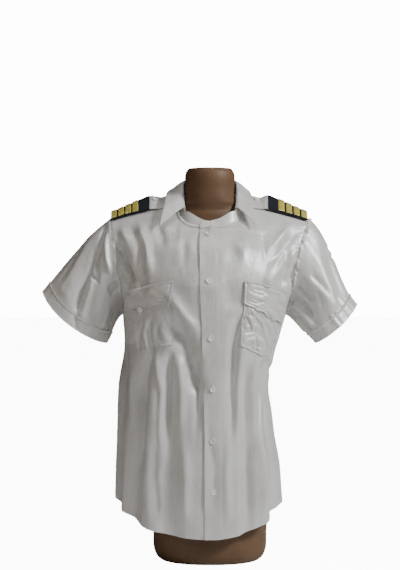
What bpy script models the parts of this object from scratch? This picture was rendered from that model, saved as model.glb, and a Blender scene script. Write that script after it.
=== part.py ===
"""A short-sleeved pilot shirt, buttoned on a limbless display form.

Metres, +Z up. The shirt's front faces -Y, so the wearer's right side is at -X.
The origin is the middle of the form's flat underside, which stands on the surface.
The body is one loft whose rows run from the centre line out to the side seam or armhole.
Rows climb the front from the hem, pass over the shoulder and go down the back.
Fronts, yoke and back are stretches of that loft, and each is a wall with its own thickness.
"""

import math
from collections import namedtuple

import bpy
import numpy as np

# Driving sizes
CLOTH = 0.0012          # wall of one layer of shirt cloth
COLLAR_CLOTH = 0.0018   # the collar's fused layers
SLIDE_FELT = 0.0014
SEAM = 0.0003           # gap between neighbouring pieces
LAYER = CLOTH + SEAM    # from one layer's middle to the next one's
LAP = 0.0175            # how far each front passes the centre line
POCKET_INNER = 0.24     # share of a front's row where the pocket starts
POCKET_OUTER = 0.76
SLEEVE_HEM = 0.029      # height of the turned-up sleeve hem
STRAP_WIDTH = 0.050
BUTTON_RADIUS = 0.0056
BUTTON_THICK = 0.0024

# Colours as linear red, green and blue
WHITE_CLOTH = (0.78, 0.78, 0.76)
NAVY_FELT = (0.012, 0.014, 0.022)
GOLD_BRAID = (0.62, 0.50, 0.17)
BUTTON_PLASTIC = (0.86, 0.86, 0.83)
FORM_BROWN = (0.19, 0.095, 0.055)

RIGHT, LEFT = -1, 1     # the wearer's sides, and their sign in X

# The body's rows. centre: where the row starts, on the centre line or the neckline.
# right, left: half-widths at the side seam or armhole. side_y, side_z: where the row ends.
# flat: how far the row runs straight out from the centre, as a share of its width.
# turn_x, turn_y, turn_z: the handle that the row arrives on at its side end.
Row = namedtuple(
    "Row", "name centre_x centre_y centre_z right left side_y side_z flat turn_x turn_y turn_z"
)
ROWS = (
    Row("front_hem", 0.0, -0.136, 0.066, 0.214, 0.158, 0.030, 0.132, 0.66, 0.0, -0.105, -0.012),
    Row("front_hip", 0.0, -0.134, 0.200, 0.212, 0.152, 0.030, 0.205, 0.66, 0.0, -0.105, 0.0),
    Row("front_low_waist", 0.0, -0.130, 0.300, 0.209, 0.140, 0.030, 0.300, 0.66, 0.0, -0.100, 0.0),
    Row("front_waist", 0.0, -0.127, 0.395, 0.205, 0.130, 0.028, 0.390, 0.66, 0.0, -0.100, 0.0),
    Row("front_low_chest", 0.0, -0.132, 0.480, 0.1925, 0.151, 0.026, 0.472, 0.66, 0.0, -0.105, 0.0),
    Row("front_armpit", 0.0, -0.136, 0.572, 0.196, 0.171, 0.024, 0.543, 0.66, 0.0, -0.100, 0.0),
    Row("chest", 0.0, -0.133, 0.632, 0.1955, 0.1805, -0.034, 0.598, 0.64, 0.012, -0.055, 0.004),
    Row("upper_chest", 0.0, -0.112, 0.690, 0.203, 0.187, -0.056, 0.650, 0.58, 0.040, -0.030, 0.010),
    Row("pit_of_neck", 0.0, -0.072, 0.734, 0.2125, 0.1972, -0.052, 0.698, 0.42, 0.055, -0.018, 0.012),
    Row("neckline_front", 0.044, -0.064, 0.739, 0.2165, 0.2060, -0.040, 0.722, 0.25, 0.050, -0.010, 0.014),
    Row("neckline_side", 0.066, -0.043, 0.757, 0.219, 0.2145, -0.026, 0.742, 0.22, 0.045, -0.004, 0.015),
    Row("front_yoke_seam", 0.072, -0.018, 0.783, 0.2205, 0.2185, -0.010, 0.754, 0.21, 0.045, 0.0, 0.015),
    Row("shoulder_ridge", 0.072, 0.010, 0.805, 0.222, 0.2205, 0.010, 0.758, 0.21, 0.045, 0.0, 0.015),
    Row("neckline_back", 0.056, 0.042, 0.815, 0.220, 0.219, 0.034, 0.753, 0.24, 0.045, 0.002, 0.015),
    Row("nape", 0.0, 0.060, 0.8145, 0.214, 0.213, 0.056, 0.734, 0.36, 0.048, 0.008, 0.014),
    Row("back_yoke_seam", 0.0, 0.098, 0.758, 0.205, 0.204, 0.074, 0.695, 0.50, 0.048, 0.014, 0.010),
    Row("shoulder_blade", 0.0, 0.120, 0.680, 0.199, 0.193, 0.078, 0.640, 0.58, 0.036, 0.026, 0.004),
    Row("back_armhole", 0.0, 0.122, 0.615, 0.1955, 0.184, 0.062, 0.585, 0.62, 0.012, 0.045, 0.002),
    Row("back_armpit", 0.0, 0.118, 0.560, 0.196, 0.171, 0.024, 0.543, 0.64, 0.0, 0.062, 0.0),
    Row("back_low_chest", 0.0, 0.110, 0.480, 0.1925, 0.151, 0.026, 0.472, 0.64, 0.0, 0.060, 0.0),
    Row("back_waist", 0.0, 0.102, 0.395, 0.205, 0.130, 0.028, 0.390, 0.64, 0.0, 0.056, 0.0),
    Row("back_low_waist", 0.0, 0.112, 0.300, 0.209, 0.140, 0.030, 0.300, 0.64, 0.0, 0.060, 0.0),
    Row("back_hip", 0.0, 0.124, 0.200, 0.212, 0.152, 0.030, 0.205, 0.64, 0.0, 0.066, 0.0),
    Row("back_hem", 0.0, 0.126, 0.058, 0.214, 0.158, 0.030, 0.132, 0.64, 0.0, 0.066, -0.012),
)
HEM, ARMPIT, PIT, FRONT_SEAM, RIDGE, NAPE, BACK_SEAM, BACK_ARMPIT, BACK_HEM = (
    0, 5, 8, 11, 12, 14, 15, 18, 23
)
INNER_CORNERS = (PIT, NAPE)
OUTER_CORNERS = (ARMPIT, BACK_ARMPIT)

# Places between rows where the front pieces start and end
POCKET_BOTTOM = 4.05
POCKET_TOP = 5.72
FLAP_TOP = 5.86
# How far the pocket's and the flap's lower edges dip below those places, in rows, at the inner
# corner, the point, the outer corner and the side seam
Dips = namedtuple("Dips", "pocket flap")
DIPS = {
    -1: Dips((0.00, 0.10, -0.02, 0.0), (-0.19, 0.06, -0.13, 0.0)),
    1: Dips((0.02, 0.27, 0.20, 0.0), (-0.05, 0.20, 0.34, 0.0)),
}

# Folds that hang in the cloth. Each runs from (share_1, z_1) to (share_2, z_2), where share is
# the place along the row from centre to side. Depth is out of the cloth where it is above 0.
Fold = namedtuple("Fold", "face side share_1 z_1 share_2 z_2 half_width depth")
FOLDS = (
    Fold("front", RIGHT, 0.95, 0.725, 0.80, 0.600, 0.028, -0.010),
    Fold("front", RIGHT, 0.84, 0.740, 0.62, 0.610, 0.024, 0.005),
    Fold("front", RIGHT, 0.66, 0.720, 0.50, 0.600, 0.022, -0.004),
    Fold("front", RIGHT, 0.28, 0.560, 0.06, 0.400, 0.030, -0.008),
    Fold("front", RIGHT, 0.46, 0.500, 0.58, 0.040, 0.034, -0.013),
    Fold("front", RIGHT, 0.36, 0.480, 0.38, 0.030, 0.028, 0.008),
    Fold("front", RIGHT, 0.27, 0.480, 0.22, 0.030, 0.028, -0.008),
    Fold("front", RIGHT, 0.80, 0.500, 0.82, 0.040, 0.034, -0.012),
    Fold("front", LEFT, 0.86, 0.740, 0.50, 0.620, 0.028, 0.006),
    Fold("front", LEFT, 0.90, 0.690, 0.70, 0.600, 0.024, -0.007),
    Fold("front", LEFT, 0.36, 0.520, 0.30, 0.030, 0.028, -0.009),
    Fold("front", LEFT, 0.50, 0.520, 0.50, 0.030, 0.026, 0.008),
    Fold("front", LEFT, 0.72, 0.560, 0.66, 0.030, 0.026, -0.011),
    Fold("front", LEFT, 0.86, 0.520, 0.86, 0.040, 0.026, 0.007),
    Fold("back", RIGHT, 0.86, 0.660, 0.60, 0.440, 0.030, -0.009),
    Fold("back", RIGHT, 0.55, 0.560, 0.50, 0.030, 0.036, -0.014),
    Fold("back", RIGHT, 0.30, 0.600, 0.24, 0.030, 0.032, 0.010),
    Fold("back", RIGHT, 0.80, 0.500, 0.82, 0.040, 0.032, 0.010),
    Fold("back", LEFT, 0.84, 0.660, 0.56, 0.450, 0.028, -0.008),
    Fold("back", LEFT, 0.18, 0.560, 0.16, 0.030, 0.032, -0.012),
    Fold("back", LEFT, 0.44, 0.560, 0.46, 0.030, 0.030, 0.010),
    Fold("back", LEFT, 0.72, 0.520, 0.74, 0.040, 0.028, -0.011),
)

# Each sleeve's cuff: its middle, the way from there to its upper corner, half its depth front
# to back, and how far its front and back edges dip below the line between the corners.
Cuff = namedtuple("Cuff", "side centre to_top half_depth front_dip back_dip")
CUFFS = {
    "right": Cuff(RIGHT, (-0.3014, -0.012, 0.538), (-0.0704, 0.0, 0.0564), 0.030, 0.020, 0.010),
    "left": Cuff(LEFT, (0.2816, -0.010, 0.524), (0.0462, 0.010, 0.0418), 0.056, 0.006, 0.004),
}
# Folds of the sleeves, from (turn_1, run_1) to (turn_2, run_2). turn goes round the sleeve from
# the armpit, over the front at 0.25 and the top at 0.5. run goes from the armhole to the cuff.
SleeveFold = namedtuple("SleeveFold", "side turn_1 run_1 turn_2 run_2 half_width depth")
SLEEVE_FOLDS = (
    SleeveFold(RIGHT, 0.46, 0.05, 0.27, 1.20, 0.100, 0.007),
    SleeveFold(RIGHT, 0.37, 0.15, 0.13, 1.20, 0.100, -0.008),
    SleeveFold(RIGHT, 0.57, 0.15, 0.76, 1.20, 0.100, -0.008),
    SleeveFold(LEFT, 0.44, 0.10, 0.35, 1.20, 0.085, -0.007),
    SleeveFold(LEFT, 0.36, 0.15, 0.23, 1.20, 0.080, 0.005),
    SleeveFold(LEFT, 0.62, 0.15, 0.74, 1.20, 0.090, -0.007),
)

# The stand's upper edge, where the leaf folds over, by where it stands on the neckline
StandTop = namedtuple("StandTop", "place x y z")
STAND_TOP = (
    StandTop(8.0, 0.0000, -0.0615, 0.7490),
    StandTop(8.5, 0.0210, -0.0600, 0.7560),
    StandTop(9.0, 0.0430, -0.0540, 0.7690),
    StandTop(9.8, 0.0555, -0.0430, 0.7760),
    StandTop(10.5, 0.0590, -0.0240, 0.7990),
    StandTop(11.3, 0.0600, -0.0050, 0.8200),
    StandTop(12.0, 0.0590, 0.0140, 0.8360),
    StandTop(13.0, 0.0450, 0.0440, 0.8470),
    StandTop(14.0, 0.0000, 0.0590, 0.8500),
)
# The leaf's outer edge, from its points round to the back
LeafEdge = namedtuple("LeafEdge", "place right left y z")
LEAF_EDGE = (
    LeafEdge(9.8, 0.1096, 0.1030, -0.0780, 0.7370),
    LeafEdge(10.2, 0.1040, 0.0985, -0.0580, 0.7640),
    LeafEdge(10.8, 0.0985, 0.0930, -0.0300, 0.7920),
    LeafEdge(11.5, 0.0950, 0.0900, 0.0000, 0.8120),
    LeafEdge(12.2, 0.0860, 0.0830, 0.0330, 0.8210),
    LeafEdge(13.0, 0.0600, 0.0590, 0.0700, 0.8080),
    LeafEdge(14.0, 0.0000, 0.0000, 0.0880, 0.7900),
)

# The shoulder pieces, by their distance from the centre line
# The strap rises from `ramp` to meet its slide.
Shoulder = namedtuple("Shoulder", "side strap_end button ramp slide_start slide_end bars")
SHOULDERS = {
    "right": Shoulder(RIGHT, 0.0880, 0.1208, 0.1080, 0.1320, 0.2165, (0.1630, 0.1790, 0.1950, 0.2110)),
    "left": Shoulder(LEFT, 0.0840, 0.1050, 0.1116, 0.1276, 0.2145, (0.1560, 0.1730, 0.1900, 0.2070)),
}
STRAP_MIDDLE_Y = 0.004
STRAP_LOW = LAYER + 0.001   # the strap's middle above the yoke's, at its free end
STRAP_HIGH = 0.0065         # and under the slide
STRAP_TILT = 0.0060         # how far the slide lifts the strap's rear edge more than its front
BAR_HALF = 0.0066

# How far the button band sways off the centre line, by height
SWAY_HEIGHTS = (0.00, 0.38, 0.50, 0.62, 0.74)
SWAY = (0.006, 0.0045, 0.000, -0.0045, -0.0045)

BUTTON_HEIGHTS = (0.7215, 0.6205, 0.4975, 0.3875, 0.2775, 0.1675)

# The form's sections: height, half-width, half-depth, middle in Y, and the exponents of a
# superellipse in X and in Y. A low one in Y draws the section out to its shoulders.
Section = namedtuple("Section", "z half_width half_depth middle_y square_x square_y")
FORM_SECTIONS = (
    Section(0.000, 0.112, 0.084, -0.006, 2.3, 2.3),
    Section(0.006, 0.119, 0.091, -0.006, 2.3, 2.3),
    Section(0.060, 0.127, 0.098, -0.006, 2.3, 2.3),
    Section(0.140, 0.131, 0.101, -0.006, 2.3, 2.3),
    Section(0.220, 0.127, 0.097, -0.007, 2.3, 2.3),
    Section(0.300, 0.116, 0.088, -0.009, 2.3, 2.3),
    Section(0.390, 0.107, 0.081, -0.012, 2.3, 2.3),
    Section(0.470, 0.118, 0.089, -0.014, 2.3, 2.3),
    Section(0.540, 0.136, 0.099, -0.014, 2.3, 2.3),
    Section(0.610, 0.152, 0.099, -0.010, 2.3, 2.3),
    Section(0.660, 0.165, 0.092, -0.001, 2.3, 2.3),
    Section(0.700, 0.173, 0.082, 0.007, 2.2, 2.2),
    Section(0.725, 0.175, 0.074, 0.012, 2.1, 2.0),
    Section(0.742, 0.174, 0.069, 0.016, 2.0, 1.8),
    Section(0.752, 0.166, 0.067, 0.016, 1.9, 1.5),
    Section(0.760, 0.150, 0.065, 0.015, 1.8, 1.25),
    Section(0.768, 0.1245, 0.0625, 0.013, 1.7, 1.15),
    Section(0.776, 0.0990, 0.0590, 0.012, 1.8, 1.2),
    Section(0.784, 0.0795, 0.0570, 0.008, 1.9, 1.35),
    Section(0.793, 0.066, 0.054, 0.002, 2.0, 1.7),
    Section(0.803, 0.0570, 0.0525, -0.001, 2.0, 2.0),
    Section(0.820, 0.0545, 0.0520, -0.002, 2.0, 2.0),
    Section(0.862, 0.0535, 0.0520, -0.002, 2.0, 2.0),
    Section(0.869, 0.0480, 0.0465, -0.002, 2.0, 2.0),
)

# Lines of the front's grid, from the hem up, and how many steps lead to the next one
SKIRT_STEPS, LOW_POCKET_STEPS, FLAP_STEPS, OVER_STEPS, CHEST_STEPS, NECK_STEPS = 11, 3, 3, 1, 4, 5
ROW_OF_POCKET = SKIRT_STEPS
ROW_OF_ARMPIT = ROW_OF_POCKET + LOW_POCKET_STEPS
ROW_OF_POCKET_TOP = ROW_OF_ARMPIT + FLAP_STEPS
ROW_OF_FLAP_TOP = ROW_OF_POCKET_TOP + OVER_STEPS
ROW_OF_PIT = ROW_OF_FLAP_TOP + CHEST_STEPS
NEAR_COLUMNS, POCKET_STEPS, FAR_STEPS = 3, 6, 4
POCKET_COLUMNS = slice(NEAR_COLUMNS, NEAR_COLUMNS + POCKET_STEPS + 1)


def spread(*stops):
    """Places between stops, each given with its steps to the next one, and the last alone."""
    places = []
    for (start, steps), following in zip(stops[:-1], stops[1:]):
        end = following[0] if isinstance(following, tuple) else following
        places.extend(np.linspace(start, end, steps, endpoint=False))
    return np.array([*places, stops[-1]], float)


FRONT_LINES = spread(
    (HEM, SKIRT_STEPS), (POCKET_BOTTOM, LOW_POCKET_STEPS), (ARMPIT, FLAP_STEPS),
    (POCKET_TOP, OVER_STEPS), (FLAP_TOP, CHEST_STEPS), (PIT, NECK_STEPS), FRONT_SEAM,
)
YOKE_LINES = spread((FRONT_SEAM, 8), (NAPE, 3), BACK_SEAM)
BLADE_LINES = np.linspace(BACK_SEAM, BACK_ARMPIT, 8)
BACK_LINES = np.concatenate((BLADE_LINES, BACK_HEM - FRONT_LINES[:ROW_OF_ARMPIT][::-1]))
ARMHOLE_LINES = np.concatenate((FRONT_LINES[ROW_OF_ARMPIT:-1], YOKE_LINES[:-1], BLADE_LINES[:-1]))
BACK_SHARES = np.linspace(0, 1, 13)


def row_values(column, at, corners):
    """A column of the table at any place between the rows, smooth but for its corners."""
    values = np.array([getattr(row, column) for row in ROWS])
    at = np.clip(at, 0.0, len(ROWS) - 1.0)
    below = np.minimum(np.floor(at).astype(int), len(ROWS) - 2)
    share = at - below
    step = np.diff(values)

    def slope(index, ahead):
        before = step[np.maximum(index - 1, 0)]
        after = step[np.minimum(index, len(step) - 1)]
        return np.where(np.isin(index, corners), after if ahead else before, (before + after) / 2)

    square, cube = share**2, share**3
    return (
        values[below] * (2 * cube - 3 * square + 1)
        + slope(below, True) * (cube - 2 * square + share)
        + values[below + 1] * (3 * square - 2 * cube)
        + slope(below + 1, False) * (cube - square)
    )


def table_at(table, column, place):
    """A column of a table whose rows are keyed by place."""
    return np.interp(place, [row.place for row in table], [getattr(row, column) for row in table])


def stack(x, y, z):
    return np.stack(np.broadcast_arrays(x, y, z), axis=-1).astype(float)


def unit(vectors):
    return vectors / np.linalg.norm(vectors, axis=-1, keepdims=True)


def dot(one, other):
    return (one * other).sum(axis=-1, keepdims=True)


def smooth(value):
    value = np.clip(value, 0.0, 1.0)
    return value * value * (3 - 2 * value)


def bezier(p0, p1, p2, p3, share):
    """Points of cubic curves, one for each entry of the arrays."""
    share = np.asarray(share)[..., None]
    rest = 1 - share
    return rest**3 * p0 + 3 * rest**2 * share * p1 + 3 * rest * share**2 * p2 + share**3 * p3


def plain_body(at, share, side):
    """The body without its folds, at rows `at` and `share` of the way to the side."""
    inner = {key: row_values("centre_" + key, at, INNER_CORNERS) for key in "xyz"}
    width = row_values("right" if side == RIGHT else "left", at, OUTER_CORNERS)
    start = stack(inner["x"] * side, inner["y"], inner["z"])
    end = stack(
        width * side,
        row_values("side_y", at, OUTER_CORNERS),
        row_values("side_z", at, OUTER_CORNERS),
    )
    turn = [row_values("turn_" + key, at, OUTER_CORNERS) for key in "xyz"]
    leave = start + stack(row_values("flat", at, ()) * width * side, 0, 0)
    return bezier(start, leave, end + stack(-turn[0] * side, turn[1], turn[2]), end, share)


def facing_of(surface, at, share, side):
    """Unit normals out of the surface, from a wide enough step to be smooth at the corners."""
    last = len(ROWS) - 1.0
    before, after = np.clip(at - 0.15, 0, last), np.clip(at + 0.15, 0, last)
    up = surface(after, share, side) - surface(before, share, side)
    out = surface(at, share + 0.01, side) - surface(at, share - 0.01, side)
    return unit(np.cross(out, up)) * side


def fold_depth(points, at, share, side):
    """How far the folds move the cloth out, at these points of the plain body."""
    depth = np.zeros(np.broadcast(at, share).shape)
    length = 0.27
    for fold in FOLDS:
        if fold.side != side:
            continue
        here = (at < RIDGE) == (fold.face == "front")
        start = np.array((fold.share_1 * length, fold.z_1))
        run = np.array((fold.share_2 * length, fold.z_2)) - start
        place = stack(share * length + 0 * at, points[..., 2], 0)[..., :2] - start
        along = np.clip(place @ run / (run @ run), 0.0, 1.0)
        off = np.linalg.norm(place - along[..., None] * run, axis=-1) / fold.half_width
        depth += here * fold.depth * smooth(along / 0.35) * np.clip(1 - off**2, 0, 1) ** 2
    return depth * smooth(share / 0.14) * smooth((1 - share) / 0.12)


def hung_body(at, share, side):
    """The body with its folds."""
    points = plain_body(at, share, side)
    out = facing_of(plain_body, at, share, side)
    return points + out * fold_depth(points, at, share, side)[..., None]


def body(at, share, side):
    """Points of the cloth's middle surface, with their normals."""
    at, share = np.broadcast_arrays(np.asarray(at, float), np.asarray(share, float))
    return hung_body(at, share, side), facing_of(hung_body, at, share, side)


def sway(at):
    """How far the button band stands off the centre line on these rows."""
    return np.interp(row_values("centre_z", at, INNER_CORNERS), SWAY_HEIGHTS, SWAY)


def share_at_x(at, x, side):
    """The share where each row passes x, near the centre line."""
    tries = np.linspace(0, 0.2, 9)
    found = plain_body(np.asarray(at)[..., None], tries, side)[..., 0] * side
    return np.array([np.interp(goal, row, tries) for goal, row in zip(x, found)])


def centre_strip(at, places):
    """Columns of the body at these distances from the band's middle, below the neckline."""
    columns = []
    for place in places:
        x = place + sway(at)
        halves = [body(at, share_at_x(at, x * side, side), side) for side in (RIGHT, LEFT)]
        on_left = (x >= 0)[:, None]
        columns.append([np.where(on_left, left, right) for right, left in zip(*halves)])
    return [np.stack(layer, axis=1) for layer in zip(*columns)]


def material(name, colour, roughness, metallic=0.0):
    made = bpy.data.materials.new(name)
    made.use_nodes = True
    shader = made.node_tree.nodes["Principled BSDF"]
    shader.inputs["Base Color"].default_value = (*colour, 1.0)
    shader.inputs["Roughness"].default_value = roughness
    shader.inputs["Metallic"].default_value = metallic
    return made


def add_object(name, vertices, faces, finish):
    mesh = bpy.data.meshes.new(name)
    mesh.from_pydata([tuple(point) for point in vertices], [], faces)
    mesh.materials.append(finish)
    made = bpy.data.objects.new(name, mesh)
    PARTS.objects.link(made)
    return made


def grid_faces(rows, columns, closed):
    number = np.arange(rows * columns).reshape(rows, columns)
    if closed:
        number = np.concatenate((number, number[:, :1]), axis=1)
    corners = (number[:-1, :-1], number[:-1, 1:], number[1:, 1:], number[1:, :-1])
    return np.stack(corners, axis=-1).reshape(-1, 4)


def wall(name, patches, finish, thickness=CLOTH, closed=False):
    """A wall of cloth, `thickness` thick, around grids of (points, normals) that meet."""
    points = np.concatenate([grid.reshape(-1, 3) for grid, _ in patches])
    out = np.concatenate([facing.reshape(-1, 3) for _, facing in patches])
    halves, first = [], 0
    for grid, _ in patches:
        quads = grid_faces(*grid.shape[:2], closed) + first
        first += grid.shape[0] * grid.shape[1]
        faces = np.concatenate((quads[:, (0, 1, 2)], quads[:, (0, 2, 3)]))
        corner = points[faces]
        across = np.cross(corner[:, 1] - corner[:, 0], corner[:, 2] - corner[:, 0])
        if (across * out[faces[:, 0]]).sum() < 0:
            faces = faces[:, ::-1]
        halves.append(faces)
    _, kept, welded = np.unique(
        np.round(points, 6), axis=0, return_index=True, return_inverse=True
    )
    points, out = points[kept], out[kept]
    faces = welded.reshape(-1)[np.concatenate(halves)].tolist()
    faces = [face for face in faces if len(set(face)) == 3]
    count = len(points)
    edges = {(a, b) for face in faces for a, b in zip(face, face[1:] + face[:1])}
    rim = [(b, a, a + count, b + count) for a, b in edges if (b, a) not in edges]
    inside = [[index + count for index in face[::-1]] for face in faces]
    vertices = np.concatenate((points + out * thickness / 2, points - out * thickness / 2))
    return add_object(name, vertices, faces + inside + sorted(rim), finish)


def grid_normals(points, closed=False):
    """Unit normals of a grid of points, from its neighbours."""
    down = np.gradient(points, axis=0)
    if closed:
        across = np.roll(points, -1, axis=1) - np.roll(points, 1, axis=1)
    else:
        across = np.gradient(points, axis=1)
    return unit(np.cross(down, across))


def tube_normals(points):
    """Unit normals out of a tube."""
    out = grid_normals(points, closed=True)
    middle = points.mean(axis=1, keepdims=True)
    return out * np.sign(dot(out, points - middle).mean())


def drawn_in(patch, *edges):
    """The patch with these edges drawn in by half a seam's gap."""
    points = patch[0].copy()
    lines = {
        "bottom": (points[0], points[1]),
        "top": (points[-1], points[-2]),
        "outer": (points[:, -1], points[:, -2]),
    }
    for edge in edges:
        line, neighbour = lines[edge]
        line += unit(neighbour - line) * SEAM / 2
    return points, patch[1]


def raised(patch, lift):
    """The patch moved out along its normals."""
    lift = np.asarray(lift)
    return patch[0] + patch[1] * (lift[..., None] if lift.ndim else lift), patch[1]


def cut(patch, rows, columns=slice(None)):
    return patch[0][rows, columns], patch[1][rows, columns]


def front_patch(side, start_x):
    """A front's grid from `start_x` out. Its lines dip to the pocket's and the flap's points."""
    below = np.minimum(FRONT_LINES, PIT)
    start = share_at_x(below, start_x + sway(below) * side, side)
    start = np.where(FRONT_LINES <= PIT, start, 0.0)[:, None]
    near = start + (POCKET_INNER - start) * np.linspace(0, 1, NEAR_COLUMNS, endpoint=False)
    far = spread((POCKET_INNER, POCKET_STEPS), (POCKET_OUTER, FAR_STEPS), 1.0)
    share = np.concatenate((near, np.broadcast_to(far, (len(FRONT_LINES), len(far)))), axis=1)
    corners = (0.04, POCKET_INNER, (POCKET_INNER + POCKET_OUTER) / 2, POCKET_OUTER, 1.0)
    pocket, flap = (np.interp(share, corners, (0, *dips)) for dips in DIPS[side])
    line = np.arange(len(FRONT_LINES))[:, None]
    dip = pocket * np.interp(line, (ROW_OF_POCKET - 4, ROW_OF_POCKET, ROW_OF_ARMPIT), (0, 1, 0))
    dip += flap * np.interp(line, (ROW_OF_POCKET, ROW_OF_ARMPIT, ROW_OF_POCKET_TOP), (0, 1, 0))
    return body(FRONT_LINES[:, None] - dip, share, side)


def build_body(white):
    """The fronts, the button band, the yoke and the back."""
    fronts = {"right": front_patch(RIGHT, LAP), "left": front_patch(LEFT, LAP + SEAM)}
    below_neck = FRONT_LINES[: ROW_OF_PIT + 1]
    under = centre_strip(below_neck, (-LAP, -0.006, 0.006, LAP - SEAM))
    skirt = slice(0, ROW_OF_ARMPIT + 1)
    for name, patch in fronts.items():
        panel = drawn_in(patch, "top")
        panel[0][skirt] = drawn_in(cut(panel, skirt), "outer")[0]
        wall("front_" + name, [panel, under] if name == "right" else [panel], white)
    band = raised(centre_strip(below_neck, (-LAP, -0.006, 0.006, LAP + 0.002)), LAYER)
    wall("front_band", [band], white)

    yoke = [body(YOKE_LINES[:, None], BACK_SHARES, side) for side in (RIGHT, LEFT)]
    wall("yoke", [drawn_in(half, "bottom", "top") for half in yoke], white)
    back = []
    seam = slice(len(BLADE_LINES) - 1, None)
    for side in (RIGHT, LEFT):
        half = drawn_in(body(BACK_LINES[:, None], BACK_SHARES, side), "bottom")
        half[0][seam] = drawn_in(cut(half, seam), "outer")[0]
        back.append(half)
    wall("back", back, white)
    return fronts


def build_pockets(fronts, white):
    """A pointed pocket and a pointed flap on each front."""
    flaps = {}
    for name, patch in fronts.items():
        pocket = cut(patch, slice(ROW_OF_POCKET, ROW_OF_POCKET_TOP + 1), POCKET_COLUMNS)
        wall("pocket_" + name, [raised(pocket, LAYER)], white)
        flap = cut(patch, slice(ROW_OF_ARMPIT, ROW_OF_FLAP_TOP + 1), POCKET_COLUMNS)
        lift = np.full(flap[0].shape[:2], 2 * LAYER)
        lift[-1] = LAYER
        flaps[name] = raised(flap, lift)
        wall("flap_" + name, [flaps[name]], white)
    return flaps


def sleeve_patches(cuff):
    """The grids of a sleeve's tube and of the hem turned up over its end."""
    edge, facing = body(ARMHOLE_LINES, 1.0, cuff.side)
    peak = int(np.argmin(np.abs(ARMHOLE_LINES - RIDGE)))
    rise = edge[peak] - edge[0]
    outward = unit(np.array((rise[2] * cuff.side, 0.0, -rise[0] * cuff.side)))
    start = edge + outward * (1.5 * SEAM + CLOTH / 2 * np.abs(dot(facing, outward)))
    around = np.roll(start, -1, axis=0) - np.roll(start, 1, axis=0)
    rim = unit(np.cross(outward, around))
    rim *= np.sign(dot(rim, start - start.mean(axis=0)).mean())

    steps = np.linalg.norm(np.roll(edge, -1, axis=0) - edge, axis=1)
    run = np.concatenate(([0], np.cumsum(steps)))
    turn = np.interp(run[:-1], (0, run[peak], run[-1]), (0, 0.5, 1))
    angle = 2 * math.pi * turn
    to_top = np.array(cuff.to_top)
    axis = unit(np.cross((0, cuff.side, 0), to_top))
    front = np.clip(np.sin(angle), 0, None) ** 1.5 * cuff.front_dip
    back = np.clip(-np.sin(angle), 0, None) ** 1.5 * cuff.back_dip
    end = (
        np.array(cuff.centre)
        - np.cos(angle)[:, None] * to_top
        - np.sin(angle)[:, None] * np.array((0, cuff.half_depth, 0))
        + (front + back)[:, None] * axis
    )
    length = np.linalg.norm(end - start, axis=1)[:, None]
    leave = unit(outward * 0.35 + axis * 0.65)
    hem = 1 - SLEEVE_HEM / length[:, 0]
    share = np.concatenate((
        np.linspace(0, 1, 8)[:, None] * hem,
        hem + np.array(((0.5,), (1.0,))) * (1 - hem),
    ))
    grid = bezier(start, start + leave * length * 0.3, end - axis * length * 0.3, end, share)
    depth = np.zeros(share.shape)
    for fold in SLEEVE_FOLDS:
        if fold.side != cuff.side:
            continue
        along = np.clip((share - fold.run_1) / (fold.run_2 - fold.run_1), 0, 1)
        middle = fold.turn_1 + (fold.turn_2 - fold.turn_1) * along
        off = np.abs(turn - middle) / fold.half_width
        depth += fold.depth * smooth(along / 0.4) * np.clip(1 - off**2, 0, 1) ** 2
    grid = grid + tube_normals(grid) * depth[..., None]
    out = tube_normals(grid)
    out[0] = rim
    return (grid, out), raised(cut((grid, out), slice(-3, None)), LAYER)


def build_sleeves(white):
    for name, cuff in CUFFS.items():
        tube, hem = sleeve_patches(cuff)
        wall("sleeve_" + name, [tube], white, closed=True)
        wall("sleeve_hem_" + name, [hem], white, closed=True)


def neckline():
    """Points, normals and places on the neckline, from the right front's end to the left's."""
    ends = centre_strip(
        np.array([float(PIT)]), (LAP, 0.009, 0.0, -0.009, 0.009, 0.0, -0.009, -LAP)
    )
    places = np.concatenate((FRONT_LINES[ROW_OF_PIT + 1 : -1], YOKE_LINES[YOKE_LINES <= NAPE]))
    right = body(places, 0.0, RIGHT)
    left = body(places[:-1][::-1], 0.0, LEFT)
    points, out = (
        np.concatenate((end[0, :4], one, other, end[0, 4:]))
        for end, one, other in zip(ends, right, left)
    )
    flat = np.full(4, float(PIT))
    return points, out, np.concatenate((flat, places, places[:-1][::-1], flat))


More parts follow.
